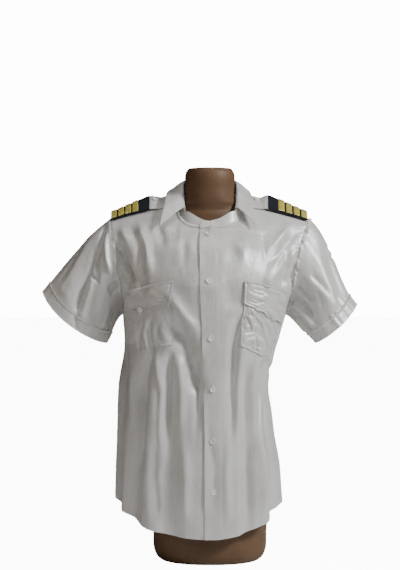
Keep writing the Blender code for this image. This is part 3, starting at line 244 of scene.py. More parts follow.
# Sharper creases, each along a path across the front or back, in millimetres from the centre
# line and up from the floor. depth is out of the cloth where it is above 0. lean makes one
# flank broader, and fade_in and fade_out are the shares of the path over which it dies away.
Crease = namedtuple("Crease", "path half_width depth lean fade_in fade_out")
FRONT_CREASES = (
    # the wearer's right, from the armhole in
    Crease(((-216, 708), (-198, 668), (-170, 628), (-152, 604)), 10, -8.0, 0.2, 0.25, 0.30),
    Crease(((-200, 742), (-184, 705), (-170, 680)), 9, 2.4, 0.0, 0.35, 0.45),
    Crease(((-160, 752), (-144, 712), (-132, 664), (-128, 618)), 11, 4.6, 0.2, 0.25, 0.35),
    Crease(((-120, 752), (-104, 715), (-98, 680)), 10, -1.8, 0.2, 0.40, 0.50),
    Crease(((-55, 719), (-56, 664), (-60, 640)), 9, -1.6, 0.0, 0.40, 0.50),
    Crease(((-31, 722), (-28, 690), (-30, 660)), 7, -1.2, 0.0, 0.40, 0.50),
    Crease(((-80, 616), (-30, 604), (20, 600), (62, 604)), 24, 3.0, 0.0, 0.35, 0.35),
    Crease(((-96, 600), (-82, 583), (-55, 543), (-22, 506)), 10, 4.5, -0.2, 0.30, 0.25),
    Crease(((-84, 556), (-62, 515), (-44, 480), (-26, 400), (-27, 320)), 16, -6.0, 0.2, 0.25, 0.35),
    Crease(((-128, 474), (-133, 444), (-147, 383), (-151, 300), (-142, 190)), 9, -5.5, 0.25, 0.10, 0.40),
    Crease(((-118, 468), (-110, 418), (-103, 383), (-106, 300), (-100, 180)), 8, 4.0, -0.2, 0.12, 0.45),
    Crease(((-84, 477), (-88, 430), (-89, 383), (-92, 250)), 8, -4.5, 0.2, 0.12, 0.45),
    Crease(((-69, 468), (-63, 420), (-62, 383), (-66, 260)), 9, 3.2, 0.0, 0.15, 0.45),
    Crease(((-29, 466), (-27, 383), (-31, 250)), 6, -2.5, 0.0, 0.20, 0.45),
    Crease(((-190, 470), (-193, 430), (-186, 380), (-190, 290)), 10, -3.5, 0.0, 0.25, 0.45),
    Crease(((-172, 440), (-171, 380), (-166, 300), (-170, 180)), 9, 3.5, 0.0, 0.30, 0.45),
    Crease(((-192, 612), (-189, 565), (-186, 545)), 6, -2.8, 0.2, 0.35, 0.35),
    Crease(((-182, 604), (-161, 563), (-152, 548)), 5, -3.0, 0.2, 0.30, 0.35),
    Crease(((-190, 604), (-169, 574), (-158, 556)), 5, 2.4, 0.0, 0.30, 0.40),
    Crease(((-150, 560), (-143, 532), (-153, 500), (-154, 462)), 3.2, -2.0, 0.2, 0.25, 0.15),
    Crease(((-127, 545), (-127, 500), (-121, 462)), 3.4, -2.2, 0.0, 0.25, 0.15),
    Crease(((-134, 540), (-141, 508), (-134, 466)), 3.2, 2.2, 0.0, 0.25, 0.15),
    Crease(((-168, 530), (-160, 512), (-163, 486)), 6.0, 1.8, 0.0, 0.35, 0.35),
    Crease(((-108, 540), (-112, 510), (-106, 484)), 6.0, -1.6, 0.0, 0.35, 0.35),
    # the wearer's left, from the armhole in
    Crease(((184, 752), (158, 722), (130, 692), (112, 672)), 9, 2.7, 0.2, 0.30, 0.40),
    Crease(((194, 730), (165, 697), (132, 660), (118, 640)), 9, -3.4, 0.2, 0.25, 0.35),
    Crease(((192, 692), (160, 655), (128, 617)), 9, 2.7, -0.2, 0.25, 0.40),
    Crease(((114, 728), (118, 690), (119, 650)), 6, -1.6, 0.0, 0.35, 0.45),
    Crease(((74, 735), (70, 690), (72, 640)), 11, 1.6, 0.0, 0.40, 0.45),
    Crease(((24, 728), (46, 690), (66, 652)), 13, -2.6, 0.0, 0.35, 0.40),
    Crease(((2, 744), (6, 704)), 8, 1.6, 0.0, 0.35, 0.45),
    Crease(((198, 664), (186, 636), (170, 604)), 7, -4.0, 0.2, 0.30, 0.35),
    Crease(((174, 664), (166, 630), (162, 598)), 6, -2.8, 0.0, 0.30, 0.35),
    Crease(((28, 622), (42, 590), (58, 552)), 20, -3.0, 0.0, 0.35, 0.40),
    Crease(((88, 556), (63, 534), (51, 488), (48, 383), (46, 250)), 8, -5.5, 0.25, 0.15, 0.45),
    Crease(((76, 524), (67, 470), (63, 383), (60, 250)), 9, 3.4, 0.0, 0.20, 0.45),
    Crease(((114, 448), (106, 383), (100, 250)), 5.5, -4.0, 0.2, 0.12, 0.45),
    Crease(((119, 450), (123, 383), (128, 260)), 5.5, -3.4, 0.0, 0.12, 0.45),
    Crease(((113, 430), (114, 383), (112, 300)), 5.0, 2.4, 0.0, 0.20, 0.45),
    Crease(((128, 452), (134, 411), (140, 330)), 5.0, -2.6, 0.0, 0.12, 0.45),
    Crease(((84, 448), (80, 383), (82, 270)), 8, -2.6, 0.0, 0.20, 0.45),
    Crease(((150, 500), (150, 430), (144, 330), (146, 200)), 8, -3.5, 0.2, 0.25, 0.45),
    Crease(((80, 566), (110, 530), (126, 470)), 3.0, 1.9, 0.0, 0.20, 0.15),
    Crease(((88, 568), (118, 532), (134, 472)), 3.0, -1.9, 0.0, 0.25, 0.15),
    Crease(((98, 558), (128, 522), (143, 476)), 3.0, 1.9, 0.0, 0.20, 0.15),
    Crease(((110, 552), (138, 516), (150, 486)), 3.0, -1.7, 0.0, 0.25, 0.25),
    Crease(((68, 520), (96, 523), (116, 510)), 3.2, 1.1, 0.0, 0.25, 0.30),
    Crease(((68, 507), (94, 511), (112, 496)), 3.2, -1.1, 0.0, 0.25, 0.30),
    Crease(((70, 490), (98, 496), (120, 482)), 3.2, 1.2, 0.0, 0.25, 0.30),
    Crease(((72, 478), (96, 484), (116, 470)), 3.0, -1.1, 0.0, 0.25, 0.30),
    Crease(((74, 550), (86, 537), (91, 516)), 3.0, 1.6, 0.0, 0.25, 0.30),
    Crease(((92, 506), (101, 486), (100, 460)), 3.0, -1.5, 0.0, 0.30, 0.20),
    Crease(((132, 562), (147, 546), (156, 518)), 3.4, -1.8, 0.0, 0.30, 0.30),
    Crease(((118, 560), (132, 546), (140, 528)), 3.0, 1.5, 0.0, 0.30, 0.30),
    Crease(((76, 592), (104, 583), (132, 589)), 3.4, 1.5, 0.0, 0.25, 0.30),
    Crease(((86, 603), (112, 598), (136, 580)), 3.0, -1.5, 0.0, 0.25, 0.30),
    Crease(((74, 579), (96, 572), (118, 577)), 3.0, -1.4, 0.0, 0.30, 0.30),
    Crease(((118, 605), (134, 597), (154, 592)), 3.0, 1.4, 0.0, 0.30, 0.30),
    Crease(((138, 592), (148, 576), (150, 558)), 3.2, -1.8, 0.0, 0.30, 0.30),
    # the skirt, both sides
    Crease(((-60, 300), (-52, 200), (-56, 90)), 11, 3.5, 0.0, 0.40, 0.30),
    Crease(((-118, 300), (-120, 200), (-114, 90)), 10, -4.0, 0.2, 0.40, 0.25),
    Crease(((-8, 330), (8, 220), (6, 110)), 9, -2.0, 0.0, 0.40, 0.30),
    Crease(((90, 320), (84, 220), (88, 90)), 10, -4.0, 0.2, 0.40, 0.25),
    Crease(((116, 300), (120, 200), (114, 100)), 10, 3.5, 0.0, 0.40, 0.30),
    Crease(((40, 300), (34, 200), (38, 90)), 9, 2.6, 0.0, 0.40, 0.30),
)
BACK_CREASES = (
    Crease(((-152, 705), (-122, 645), (-92, 590)), 10, -4.2, 0.2, 0.30, 0.40),
    Crease(((-132, 715), (-100, 660), (-78, 610)), 9, 3.2, 0.0, 0.35, 0.45),
    Crease(((-188, 640), (-150, 600), (-96, 556)), 9, -5.0, 0.2, 0.25, 0.40),
    Crease(((-182, 606), (-146, 572), (-104, 540)), 8, 3.8, -0.2, 0.25, 0.40),
    Crease(((162, 700), (134, 632), (114, 560)), 10, -4.4, 0.2, 0.30, 0.40),
    Crease(((140, 706), (112, 650), (96, 600)), 9, 3.0, 0.0, 0.35, 0.45),
    Crease(((190, 650), (160, 590), (108, 545)), 9, -5.2, 0.2, 0.25, 0.40),
    Crease(((184, 612), (152, 570), (112, 528)), 8, 4.2, -0.2, 0.25, 0.40),
    Crease(((-30, 735), (-26, 680), (-34, 620)), 9, -2.4, 0.0, 0.30, 0.50),
    Crease(((34, 738), (40, 690), (36, 630)), 8, -2.0, 0.0, 0.30, 0.50),
    Crease(((-122, 520), (-112, 420), (-104, 300), (-110, 150)), 9, -5.2, 0.2, 0.25, 0.35),
    Crease(((-92, 510), (-84, 400), (-86, 250)), 9, 4.0, 0.0, 0.25, 0.45),
    Crease(((-160, 470), (-156, 380), (-162, 240)), 9, -4.0, 0.2, 0.30, 0.45),
    Crease(((-42, 560), (-36, 440), (-30, 300), (-34, 130)), 10, -4.6, 0.2, 0.30, 0.35),
    Crease(((20, 545), (24, 420), (20, 280), (26, 110)), 9, -4.2, 0.2, 0.30, 0.35),
    Crease(((60, 505), (66, 400), (60, 260), (64, 110)), 10, 4.0, 0.0, 0.30, 0.35),
    Crease(((100, 524), (108, 420), (112, 290)), 8, -5.0, 0.2, 0.25, 0.45),
    Crease(((142, 480), (136, 380), (140, 230)), 8, -4.0, 0.2, 0.30, 0.45),
    Crease(((-84, 412), (-52, 397), (-10, 392), (34, 402)), 12, -1.8, 0.0, 0.40, 0.45),
    Crease(((-34, 374), (-2, 366), (30, 365), (84, 381)), 12, 1.5, 0.0, 0.40, 0.45),
    Crease(((-124, 450), (-98, 436), (-70, 432), (-30, 444)), 11, -1.5, 0.0, 0.40, 0.45),
)
# The sleeves' creases, in millimetres round from the underarm seam and down from the armhole
SLEEVE_CREASES = {
    "right": (
        Crease(((209, 14), (158, 48), (142, 67), (115, 77)), 6.5, -4.6, 0.2, 0.20, 0.25),
        Crease(((141, 100), (128, 86), (113, 76)), 5.0, -3.4, 0.0, 0.30, 0.30),
        Crease(((182, 34), (145, 91), (130, 151), (104, 232)), 5.5, -3.8, 0.2, 0.20, 0.12),
        Crease(((134, 84), (115, 142), (101, 206)), 7.0, 3.8, -0.2, 0.25, 0.20),
        Crease(((190, 12), (138, 31), (100, 29)), 7.5, 3.4, 0.0, 0.25, 0.30),
        Crease(((88, 66), (86, 36), (84, 6)), 8.0, -4.2, 0.2, 0.30, 0.15),
        Crease(((112, 206), (98, 240)), 5.0, -2.8, 0.0, 0.30, 0.10),
        Crease(((216, 60), (190, 130), (178, 200)), 9.0, -1.8, 0.0, 0.35, 0.35),
        Crease(((62, 60), (58, 130), (50, 200)), 8.0, 2.6, 0.0, 0.35, 0.35),
        Crease(((30, 40), (26, 120), (20, 200)), 8.0, -3.6, 0.0, 0.30, 0.35),
        Crease(((244, 16), (262, 110), (272, 220)), 9.0, 3.0, 0.0, 0.30, 0.35),
        Crease(((288, 24), (300, 130), (318, 236)), 7.0, -4.2, 0.2, 0.25, 0.20),
        Crease(((342, 16), (352, 100), (362, 190)), 7.5, -3.4, 0.2, 0.25, 0.35),
        Crease(((404, 10), (394, 80), (388, 150)), 7.0, -3.6, 0.0, 0.25, 0.35),
        Crease(((372, 20), (376, 90), (384, 170)), 7.0, 3.0, 0.0, 0.25, 0.35),
    ),
    "left": (
        Crease(((206, 84), (226, 92), (252, 96)), 6.0, -1.5, 0.0, 0.40, 0.40),
        Crease(((200, 106), (224, 112), (250, 122)), 6.5, -1.5, 0.0, 0.40, 0.40),
        Crease(((212, 40), (196, 110), (184, 200)), 8.0, -0.8, 0.0, 0.35, 0.30),
        Crease(((122, 58), (133, 120), (140, 160)), 6.5, -1.6, 0.2, 0.30, 0.40),
        Crease(((104, 20), (118, 90), (130, 190)), 8.0, 1.2, 0.0, 0.30, 0.35),
        Crease(((85, 8), (88, 91), (92, 130)), 6.5, -3.0, 0.2, 0.20, 0.40),
        Crease(((52, 3), (63, 67), (71, 160)), 5.5, -4.8, 0.2, 0.12, 0.30),
        Crease(((40, 14), (50, 100), (58, 196)), 7.0, 4.6, -0.2, 0.15, 0.25),
        Crease(((20, 40), (25, 130), (34, 200)), 6.0, -4.4, 0.0, 0.25, 0.30),
        Crease(((8, 30), (6, 150), (14, 220)), 6.0, 3.0, 0.0, 0.30, 0.30),
        Crease(((150, 150), (156, 200), (158, 240)), 7.0, -2.0, 0.0, 0.35, 0.10),
        Crease(((276, 18), (286, 110), (300, 220)), 7.0, -3.8, 0.2, 0.25, 0.30),
        Crease(((322, 14), (330, 100), (338, 190)), 7.5, 3.2, 0.0, 0.30, 0.35),
        Crease(((356, 18), (362, 110), (380, 200)), 6.5, -3.8, 0.2, 0.25, 0.30),
        Crease(((412, 10), (402, 90), (398, 170)), 6.5, 3.2, 0.0, 0.30, 0.35),
    ),
}
SLEEVE_ROUND, SLEEVE_DOWN = 0.46, 0.24
CREASE_DEPTH = 0.0019

# Puckers and wear by side of the wearer, in metres. The left side has more of them.
ARMHOLE_PUCKER = {RIGHT: 0.0012, LEFT: 0.0030}
HEM_PUCKER = {RIGHT: 0.0013, LEFT: 0.0030}
HEAD_PUCKER = {RIGHT: 0.0010, LEFT: 0.0026}
SEAM_BEADS = {RIGHT: (0.0006, 0.0008), LEFT: (0.0017, 0.0026)}
POCKET_WEAR = {RIGHT: 0.0012, LEFT: 0.0020}

# The cut pieces: the rectangle that each lies in, and its flat area where that is another one
Cut = namedtuple("Cut", "width length area")
CUTS = {
    "front_right": Cut(0.285, 0.83, 0.219),
    "front_left": Cut(0.245, 0.83, 0.166),
    "front_band": Cut(0.0385, 0.70, None),
    "back": Cut(0.46, 0.78, 0.305),
    "yoke": Cut(0.45, 0.20, 0.0656),
    "sleeve_right": Cut(0.46, 0.27, 0.0795),
    "sleeve_left": Cut(0.46, 0.27, 0.0746),
    "sleeve_hem_right": Cut(0.44, 0.029, 0.0124),
    "sleeve_hem_left": Cut(0.44, 0.029, 0.0115),
    "pocket_right": Cut(0.14, 0.15, 0.0182),
    "pocket_left": Cut(0.14, 0.15, 0.0201),
    "flap_right": Cut(0.14, 0.085, 0.0071),
    "flap_left": Cut(0.14, 0.085, 0.0102),
    "collar_stand": Cut(0.46, 0.036, 0.0148),
    "collar_leaf": Cut(0.44, 0.09, 0.0200),
    "shoulder_strap_right": Cut(0.158, 0.050, 0.0075),
    "shoulder_strap_left": Cut(0.158, 0.050, 0.0078),
}
CUTS |= {
    "rank_slide_" + name: Cut(0.124, place.slide_end - place.slide_start, None)
    for name, place in SHOULDERS.items()
}

# Lines of the front's grid, from the hem up, and how many steps lead to the next one
SKIRT_STEPS, LOW_POCKET_STEPS, FLAP_STEPS, OVER_STEPS, CHEST_STEPS, NECK_STEPS = 130, 54, 30, 6, 44, 28
ROW_OF_POCKET = SKIRT_STEPS
ROW_OF_ARMPIT = ROW_OF_POCKET + LOW_POCKET_STEPS
ROW_OF_POCKET_TOP = ROW_OF_ARMPIT + FLAP_STEPS
ROW_OF_FLAP_TOP = ROW_OF_POCKET_TOP + OVER_STEPS
ROW_OF_PIT = ROW_OF_FLAP_TOP + CHEST_STEPS
NEAR_COLUMNS, POCKET_STEPS, FAR_STEPS = 18, 72, 24
SLEEVE_STEPS, HEM_STEPS = 72, 18

CAMERA_PLACE, CAMERA_AIM, CAMERA_LENS = (-0.022, -2.75, 0.66), (-0.022, 0.0, 0.609), 77.5
WORLD_LIGHT, SKY_SEEN = 0.018, 14.0
Lamp = namedtuple("Lamp", "name place aim width height power colour")
LAMPS = (
    Lamp("key", (1.8, -1.15, 1.9), (0.0, 0.0, 0.58), 0.45, 0.45, 64, (0.98, 0.99, 1.0)),
    Lamp("front", (-0.1, -2.6, 1.7), (0.0, 0.0, 0.60), 0.3, 0.3, 5.5, (1.0, 0.97, 0.93)),
    Lamp("fill", (-2.0, -1.2, 1.3), (0.0, 0.0, 0.55), 0.5, 1.2, 4.5, (1.0, 0.82, 0.66)),
    Lamp("top", (-0.1, -0.6, 2.7), (0.0, 0.0, 0.75), 0.6, 0.6, 9, (1.0, 1.0, 1.0)),
)


def spread(*stops):
    """Places between stops, each given with its steps to the next one, and the last alone."""
    places = []
    for (start, steps), following in zip(stops[:-1], stops[1:]):
        end = following[0] if isinstance(following, tuple) else following
        places.extend(np.linspace(start, end, steps, endpoint=False))
    return np.array([*places, stops[-1]], float)


FRONT_LINES = spread(
    (HEM, SKIRT_STEPS), (POCKET_BOTTOM, 8), (POCKET_BOTTOM + 0.12, LOW_POCKET_STEPS - 8),
    (ARMPIT, 14), (ARMPIT + 0.18, FLAP_STEPS - 14),
    (POCKET_TOP, OVER_STEPS), (FLAP_TOP, CHEST_STEPS), (PIT, NECK_STEPS), FRONT_SEAM,
)
YOKE_LINES = spread((FRONT_SEAM, 16), (RIDGE, 30), (NAPE, 20), BACK_SEAM)
BLADE_LINES = np.linspace(BACK_SEAM, BACK_ARMPIT, 64)
BACK_LINES = np.concatenate((BLADE_LINES, BACK_HEM - FRONT_LINES[:ROW_OF_ARMPIT][::-1]))
ARMHOLE_LINES = np.concatenate((FRONT_LINES[ROW_OF_ARMPIT:-1], YOKE_LINES[:-1], BLADE_LINES[:-1]))
BACK_SHARES = np.linspace(0, 1, 65)


def hermite(share, before, after, leave, arrive):
    """A cubic curve from one value to the next, with its slope at each."""
    square, cube = share**2, share**3
    return (
        before * (2 * cube - 3 * square + 1)
        + leave * (cube - 2 * square + share)
        + after * (3 * square - 2 * cube)
        + arrive * (cube - square)
    )


def row_values(column, at, corners):
    """A column of the table at any place between the rows, smooth but for its corners."""
    values = np.array([getattr(row, column) for row in ROWS])
    at = np.clip(at, 0.0, len(ROWS) - 1.0)
    below = np.minimum(np.floor(at).astype(int), len(ROWS) - 2)
    step = np.diff(values)

    def slope(index, ahead):
        before = step[np.maximum(index - 1, 0)]
        after = step[np.minimum(index, len(step) - 1)]
        return np.where(np.isin(index, corners), after if ahead else before, (before + after) / 2)

    leave, arrive = slope(below, True), slope(below + 1, False)
    return hermite(at - below, values[below], values[below + 1], leave, arrive)


def stack(x, y, z):
    return np.stack(np.broadcast_arrays(x, y, z), axis=-1).astype(float)


def unit(vectors):
    return vectors / np.linalg.norm(vectors, axis=-1, keepdims=True)


def dot(one, other):
    return (one * other).sum(axis=-1, keepdims=True)


def smooth(value):
    """A soft step from 0 to 1."""
    value = np.clip(value, 0.0, 1.0)
    return value * value * (3 - 2 * value)


def bell(value, middle, width):
    """A soft bump, 1 high, round its middle."""
    return np.exp(-(((value - middle) / width) ** 2))


def bezier(p0, p1, p2, p3, share):
    """Points of cubic curves, one for each entry of the arrays."""
    share = np.asarray(share)[..., None]
    rest = 1 - share
    return rest**3 * p0 + 3 * rest**2 * share * p1 + 3 * rest * share**2 * p2 + share**3 * p3


def plain_body(at, share, side):
    """The body without its folds, at rows `at` and `share` of the way to the side."""
    inner = {key: row_values("centre_" + key, at, INNER_CORNERS) for key in "xyz"}
    width = row_values("right" if side == RIGHT else "left", at, OUTER_CORNERS)
    start = stack(inner["x"] * side, inner["y"], inner["z"])
    end = stack(
        width * side,
        row_values("side_y", at, OUTER_CORNERS),
        row_values("side_z", at, OUTER_CORNERS),
    )
    turn = [row_values("turn_" + key, at, OUTER_CORNERS) for key in "xyz"]
    leave = start + stack(row_values("flat", at, ()) * width * side, 0, 0)
    return bezier(start, leave, end + stack(-turn[0] * side, turn[1], turn[2]), end, share)


def facing_of(surface, at, share, side):
    """Unit normals out of the surface, from a wide enough step to be smooth at the corners."""
    last = len(ROWS) - 1.0
    before, after = np.clip(at - 0.15, 0, last), np.clip(at + 0.15, 0, last)
    up = surface(after, share, side) - surface(before, share, side)
    out = surface(at, share + 0.01, side) - surface(at, share - 0.01, side)
    return unit(np.cross(out, up)) * side


def fold_depth(points, at, share, side):
    """How far the folds move the cloth out, at these points of the plain body."""
    depth = np.zeros(np.broadcast(at, share).shape)
    length = 0.27
    for fold in FOLDS:
        if fold.side != side:
            continue
        here = (at < RIDGE) == (fold.face == "front")
        start = np.array((fold.share_1 * length, fold.z_1))
        run = np.array((fold.share_2 * length, fold.z_2)) - start
        place = stack(share * length + 0 * at, points[..., 2], 0)[..., :2] - start
        along = np.clip(place @ run / (run @ run), 0.0, 1.0)
        off = np.linalg.norm(place - along[..., None] * run, axis=-1) / fold.half_width
        depth += here * fold.depth * smooth(along / 0.35) * np.clip(1 - off**2, 0, 1) ** 2
    return depth * smooth(share / 0.14) * smooth((1 - share) / 0.12)


def hung_body(at, share, side):
    """The body with its folds."""
    points = plain_body(at, share, side)
    out = facing_of(plain_body, at, share, side)
    return points + out * fold_depth(points, at, share, side)[..., None]


def sway(at):
    """How far the button band stands off the centre line on these rows."""
    return np.interp(row_values("centre_z", at, INNER_CORNERS), SWAY_HEIGHTS, SWAY)


def share_at_x(at, x, side):
    """The share where each row passes x, near the centre line."""
    tries = np.linspace(0, 0.2, 9)
    found = plain_body(np.asarray(at)[..., None], tries, side)[..., 0] * side
    return np.array([np.interp(goal, row, tries) for goal, row in zip(x, found)])


def grid_faces(rows, columns, closed):
    number = np.arange(rows * columns).reshape(rows, columns)
    if closed:
        number = np.concatenate((number, number[:, :1]), axis=1)
    corners = (number[:-1, :-1], number[:-1, 1:], number[1:, 1:], number[1:, :-1])
    return np.stack(corners, axis=-1).reshape(-1, 4)


def grid_normals(points, closed=False):
    """Unit normals of a grid of points, from its neighbours."""
    down = np.gradient(points, axis=0)
    if closed:
        across = np.roll(points, -1, axis=1) - np.roll(points, 1, axis=1)
    else:
        across = np.gradient(points, axis=1)
    return unit(np.cross(down, across))


def tube_normals(points):
    """Unit normals out of a tube."""
    out = grid_normals(points, closed=True)
    middle = points.mean(axis=1, keepdims=True)
    return out * np.sign(dot(out, points - middle).mean())


def outward(points, facing):
    """Unit normals of a grid of points, on the side that `facing` is."""
    out = grid_normals(points)
    return out * np.sign(dot(out, facing).mean())


def distances(path):
    """The distance along a path to each of its points."""
    return np.concatenate(([0], np.cumsum(np.linalg.norm(np.diff(path, axis=0), axis=1))))


def taken_at(goals, run, values):
    """Values in three columns, at these places of their run."""
    return np.stack([np.interp(goals, run, values[:, k]) for k in range(3)], axis=-1)


def grid_lengths(grid):
    """How far a grid's columns and rows lie from its first ones, by their mean spacing."""
    across = np.linalg.norm(np.diff(grid, axis=1), axis=2).mean(axis=0)
    up = np.linalg.norm(np.diff(grid, axis=0), axis=2).mean(axis=1)
    return np.concatenate(([0], np.cumsum(across))), np.concatenate(([0], np.cumsum(up)))


def new_material(name, colour, roughness, **constants):
    """A material, its node tree and its shader, with the shader's constant values."""
    made = bpy.data.materials.new(name)
    made.use_nodes = True
    shader = made.node_tree.nodes["Principled BSDF"]
    shader.inputs["Base Color"].default_value = (*colour, 1)
    shader.inputs["Roughness"].default_value = roughness
    for socket, value in constants.items():
        shader.inputs[socket.replace("_", " ")].default_value = value
    return made, made.node_tree, shader


def new_group(name, inputs, outputs):
    """An empty node group with its sockets."""
    tree = bpy.data.node_groups.new(name, "ShaderNodeTree")
    for socket, kind, value in inputs:
        made = tree.interface.new_socket(socket, in_out="INPUT", socket_type=kind)
        made.default_value = value
    for socket, kind in outputs:
        tree.interface.new_socket(socket, in_out="OUTPUT", socket_type=kind)
    return tree, tree.nodes.new("NodeGroupInput"), tree.nodes.new("NodeGroupOutput")


def node(tree, kind, values=(), **settings):
    made = tree.nodes.new("ShaderNode" + kind)
    for key, value in settings.items():
        setattr(made, key, value)
    for socket, value in dict(values).items():
        if isinstance(value, bpy.types.NodeSocket):
            tree.links.new(value, made.inputs[socket])
        else:
            made.inputs[socket].default_value = value
    return made


def maths(tree, operation, first, second=0.0):
    return node(tree, "Math", {0: first, 1: second}, operation=operation).outputs[0]


def weave_group():
    """Warp and weft by the cloth's own places: the weave's height and its slubs."""
    tree, given, result = new_group(
        "satin_weave",
        [("Threads", "NodeSocketFloat", 1500.0)],
        [("Height", "NodeSocketFloat"), ("Slub", "NodeSocketFloat")],
    )
    places = node(tree, "UVMap", uv_map="cloth").outputs["UV"]
    split = node(tree, "SeparateXYZ", {"Vector": places})
    across = maths(tree, "MULTIPLY", split.outputs["X"], given.outputs["Threads"])
    up = maths(tree, "MULTIPLY", split.outputs["Y"], given.outputs["Threads"])
    warp = maths(tree, "SINE", maths(tree, "MULTIPLY", across, math.tau))
    rise, shift = maths(tree, "MULTIPLY", up, math.tau / 4), maths(tree, "MULTIPLY", across, math.pi)
    step = maths(tree, "ADD", rise, shift)
    weft = maths(tree, "SINE", step)
    height = maths(tree, "ADD", maths(tree, "MULTIPLY", warp, 0.6), maths(tree, "MULTIPLY", weft, 0.4))
    tree.links.new(height, result.inputs["Height"])
    stretched = node(tree, "Mapping", {"Vector": places, "Scale": (220.0, 9.0, 1.0)}).outputs[0]
    slub = node(tree, "TexNoise", {"Vector": stretched, "Scale": 1.0, "Detail": 3.0}).outputs[0]
    tree.links.new(slub, result.inputs["Slub"])
    return tree


def wrinkle_group():
    """Small soft wrinkles of laundered cloth, in the object's own places."""
    tree, given, result = new_group(
        "soft_wrinkles",
        [("Size", "NodeSocketFloat", 34.0)],
        [("Height", "NodeSocketFloat"), ("Worn", "NodeSocketFloat")],
    )
    places = node(tree, "TexCoord").outputs["Object"]
    bend = node(tree, "TexNoise", {"Vector": places, "Scale": 9.0, "Detail": 2.0}).outputs["Color"]
    bent = node(tree, "VectorMath", {0: bend, "Scale": 0.05}, operation="SCALE").outputs[0]
    moved = node(tree, "VectorMath", {0: places, 1: bent}, operation="ADD").outputs[0]
    squashed = node(tree, "Mapping", {"Vector": moved, "Scale": (1.5, 1.5, 0.7)}).outputs[0]
    hills = node(tree, "TexNoise", {
        "Vector": squashed, "Scale": given.outputs["Size"], "Detail": 3.0, "Roughness": 0.45,
    }).outputs[0]
    ridge = maths(tree, "ABSOLUTE", maths(tree, "SUBTRACT", hills, 0.5))
    low = node(tree, "TexNoise", {"Vector": moved, "Scale": 13.0, "Detail": 2.0}).outputs[0]
    height = maths(tree, "ADD", maths(tree, "MULTIPLY", ridge, -1.0), maths(tree, "MULTIPLY", low, 0.9))
    tree.links.new(height, result.inputs["Height"])
    tree.links.new(low, result.inputs["Worn"])
    return tree


def grain_group():
    """Fine even grain in the object's own places, with broad cloudy patches."""
    tree, given, result = new_group(
        "fine_grain",
        [("Size", "NodeSocketFloat", 900.0), ("Patches", "NodeSocketFloat", 18.0)],
        [("Grain", "NodeSocketFloat"), ("Cloud", "NodeSocketFloat")],
    )
    places = node(tree, "TexCoord").outputs["Object"]
    grain = node(tree, "TexNoise", {"Vector": places, "Scale": given.outputs["Size"], "Detail": 4.0})
    cloud = node(tree, "TexNoise", {"Vector": places, "Scale": given.outputs["Patches"], "Detail": 3.0})
    tree.links.new(grain.outputs[0], result.inputs["Grain"])
    tree.links.new(cloud.outputs[0], result.inputs["Cloud"])
    return tree


def tinted(tree, value, low, high, start=0.3, end=0.7):
    """Two colours mixed by a value."""
    ramp = node(tree, "ValToRGB", {"Fac": value})
    ramp.color_ramp.elements[0].position, ramp.color_ramp.elements[1].position = start, end
    ramp.color_ramp.elements[0].color = (*low, 1)
    ramp.color_ramp.elements[1].color = (*high, 1)
    return ramp.outputs["Color"]


def ranged(tree, value, low, high, start=0.3, end=0.7):
    values = {"Value": value, "From Min": start, "From Max": end, "To Min": low, "To Max": high}
    return node(tree, "MapRange", values).outputs[0]


def bumped(tree, height, distance, strength, before=None):
    values = {"Height": height, "Distance": distance, "Strength": strength}
    if before is not None:
        values["Normal"] = before
    return node(tree, "Bump", values).outputs["Normal"]


def grouped(tree, group, **values):
    made = tree.nodes.new("ShaderNodeGroup")
    made.node_tree = group
    for socket, value in values.items():
        made.inputs[socket].default_value = value
    return made


def feed(tree, shader, **values):
    """Links to the shader's sockets."""
    for socket, value in values.items():
        tree.links.new(value, shader.inputs[socket.replace("_", " ")])


def cloth_material(weave, wrinkles):
    made, tree, shader = new_material(
        "shirt_cloth", (0.63, 0.62, 0.60), 0.40, IOR=1.9, Specular_IOR_Level=0.9
    )
    threads = grouped(tree, weave, Threads=1500.0)
    worn = grouped(tree, wrinkles, Size=34.0)
    folds = bumped(tree, worn.outputs["Height"], 0.0030, 0.5)
    slubs = bumped(tree, threads.outputs["Slub"], 0.0002, 0.35, folds)
    feed(
        tree, shader,
        Base_Color=tinted(tree, worn.outputs["Worn"], (0.58, 0.565, 0.535), (0.66, 0.65, 0.63)),
        Roughness=ranged(tree, threads.outputs["Slub"], 0.38, 0.48),
        Normal=bumped(tree, threads.outputs["Height"], 0.00006, 0.35, slubs),
    )
    return made


def braid_material(weave, grain):
    made, tree, shader = new_material("braid_gold", (0.84, 0.68, 0.16), 0.38, Metallic=0.5)
    wires = grouped(tree, weave, Threads=900.0).outputs["Height"]
    fine = grouped(tree, grain, Size=700.0, Patches=60.0)
    feed(
        tree, shader,
        # Base colour follows the weave's height: painted shade, darker gold in the grooves between the
        # wires, and painted highlight, paler gold on their crowns.
        Base_Color=tinted(tree, wires, (0.60, 0.48, 0.07), (1.0, 0.90, 0.26), -0.6, 0.7),
        Roughness=ranged(tree, fine.outputs["Cloud"], 0.30, 0.44),
        Normal=bumped(tree, wires, 0.00025, 0.8),
    )
    return made


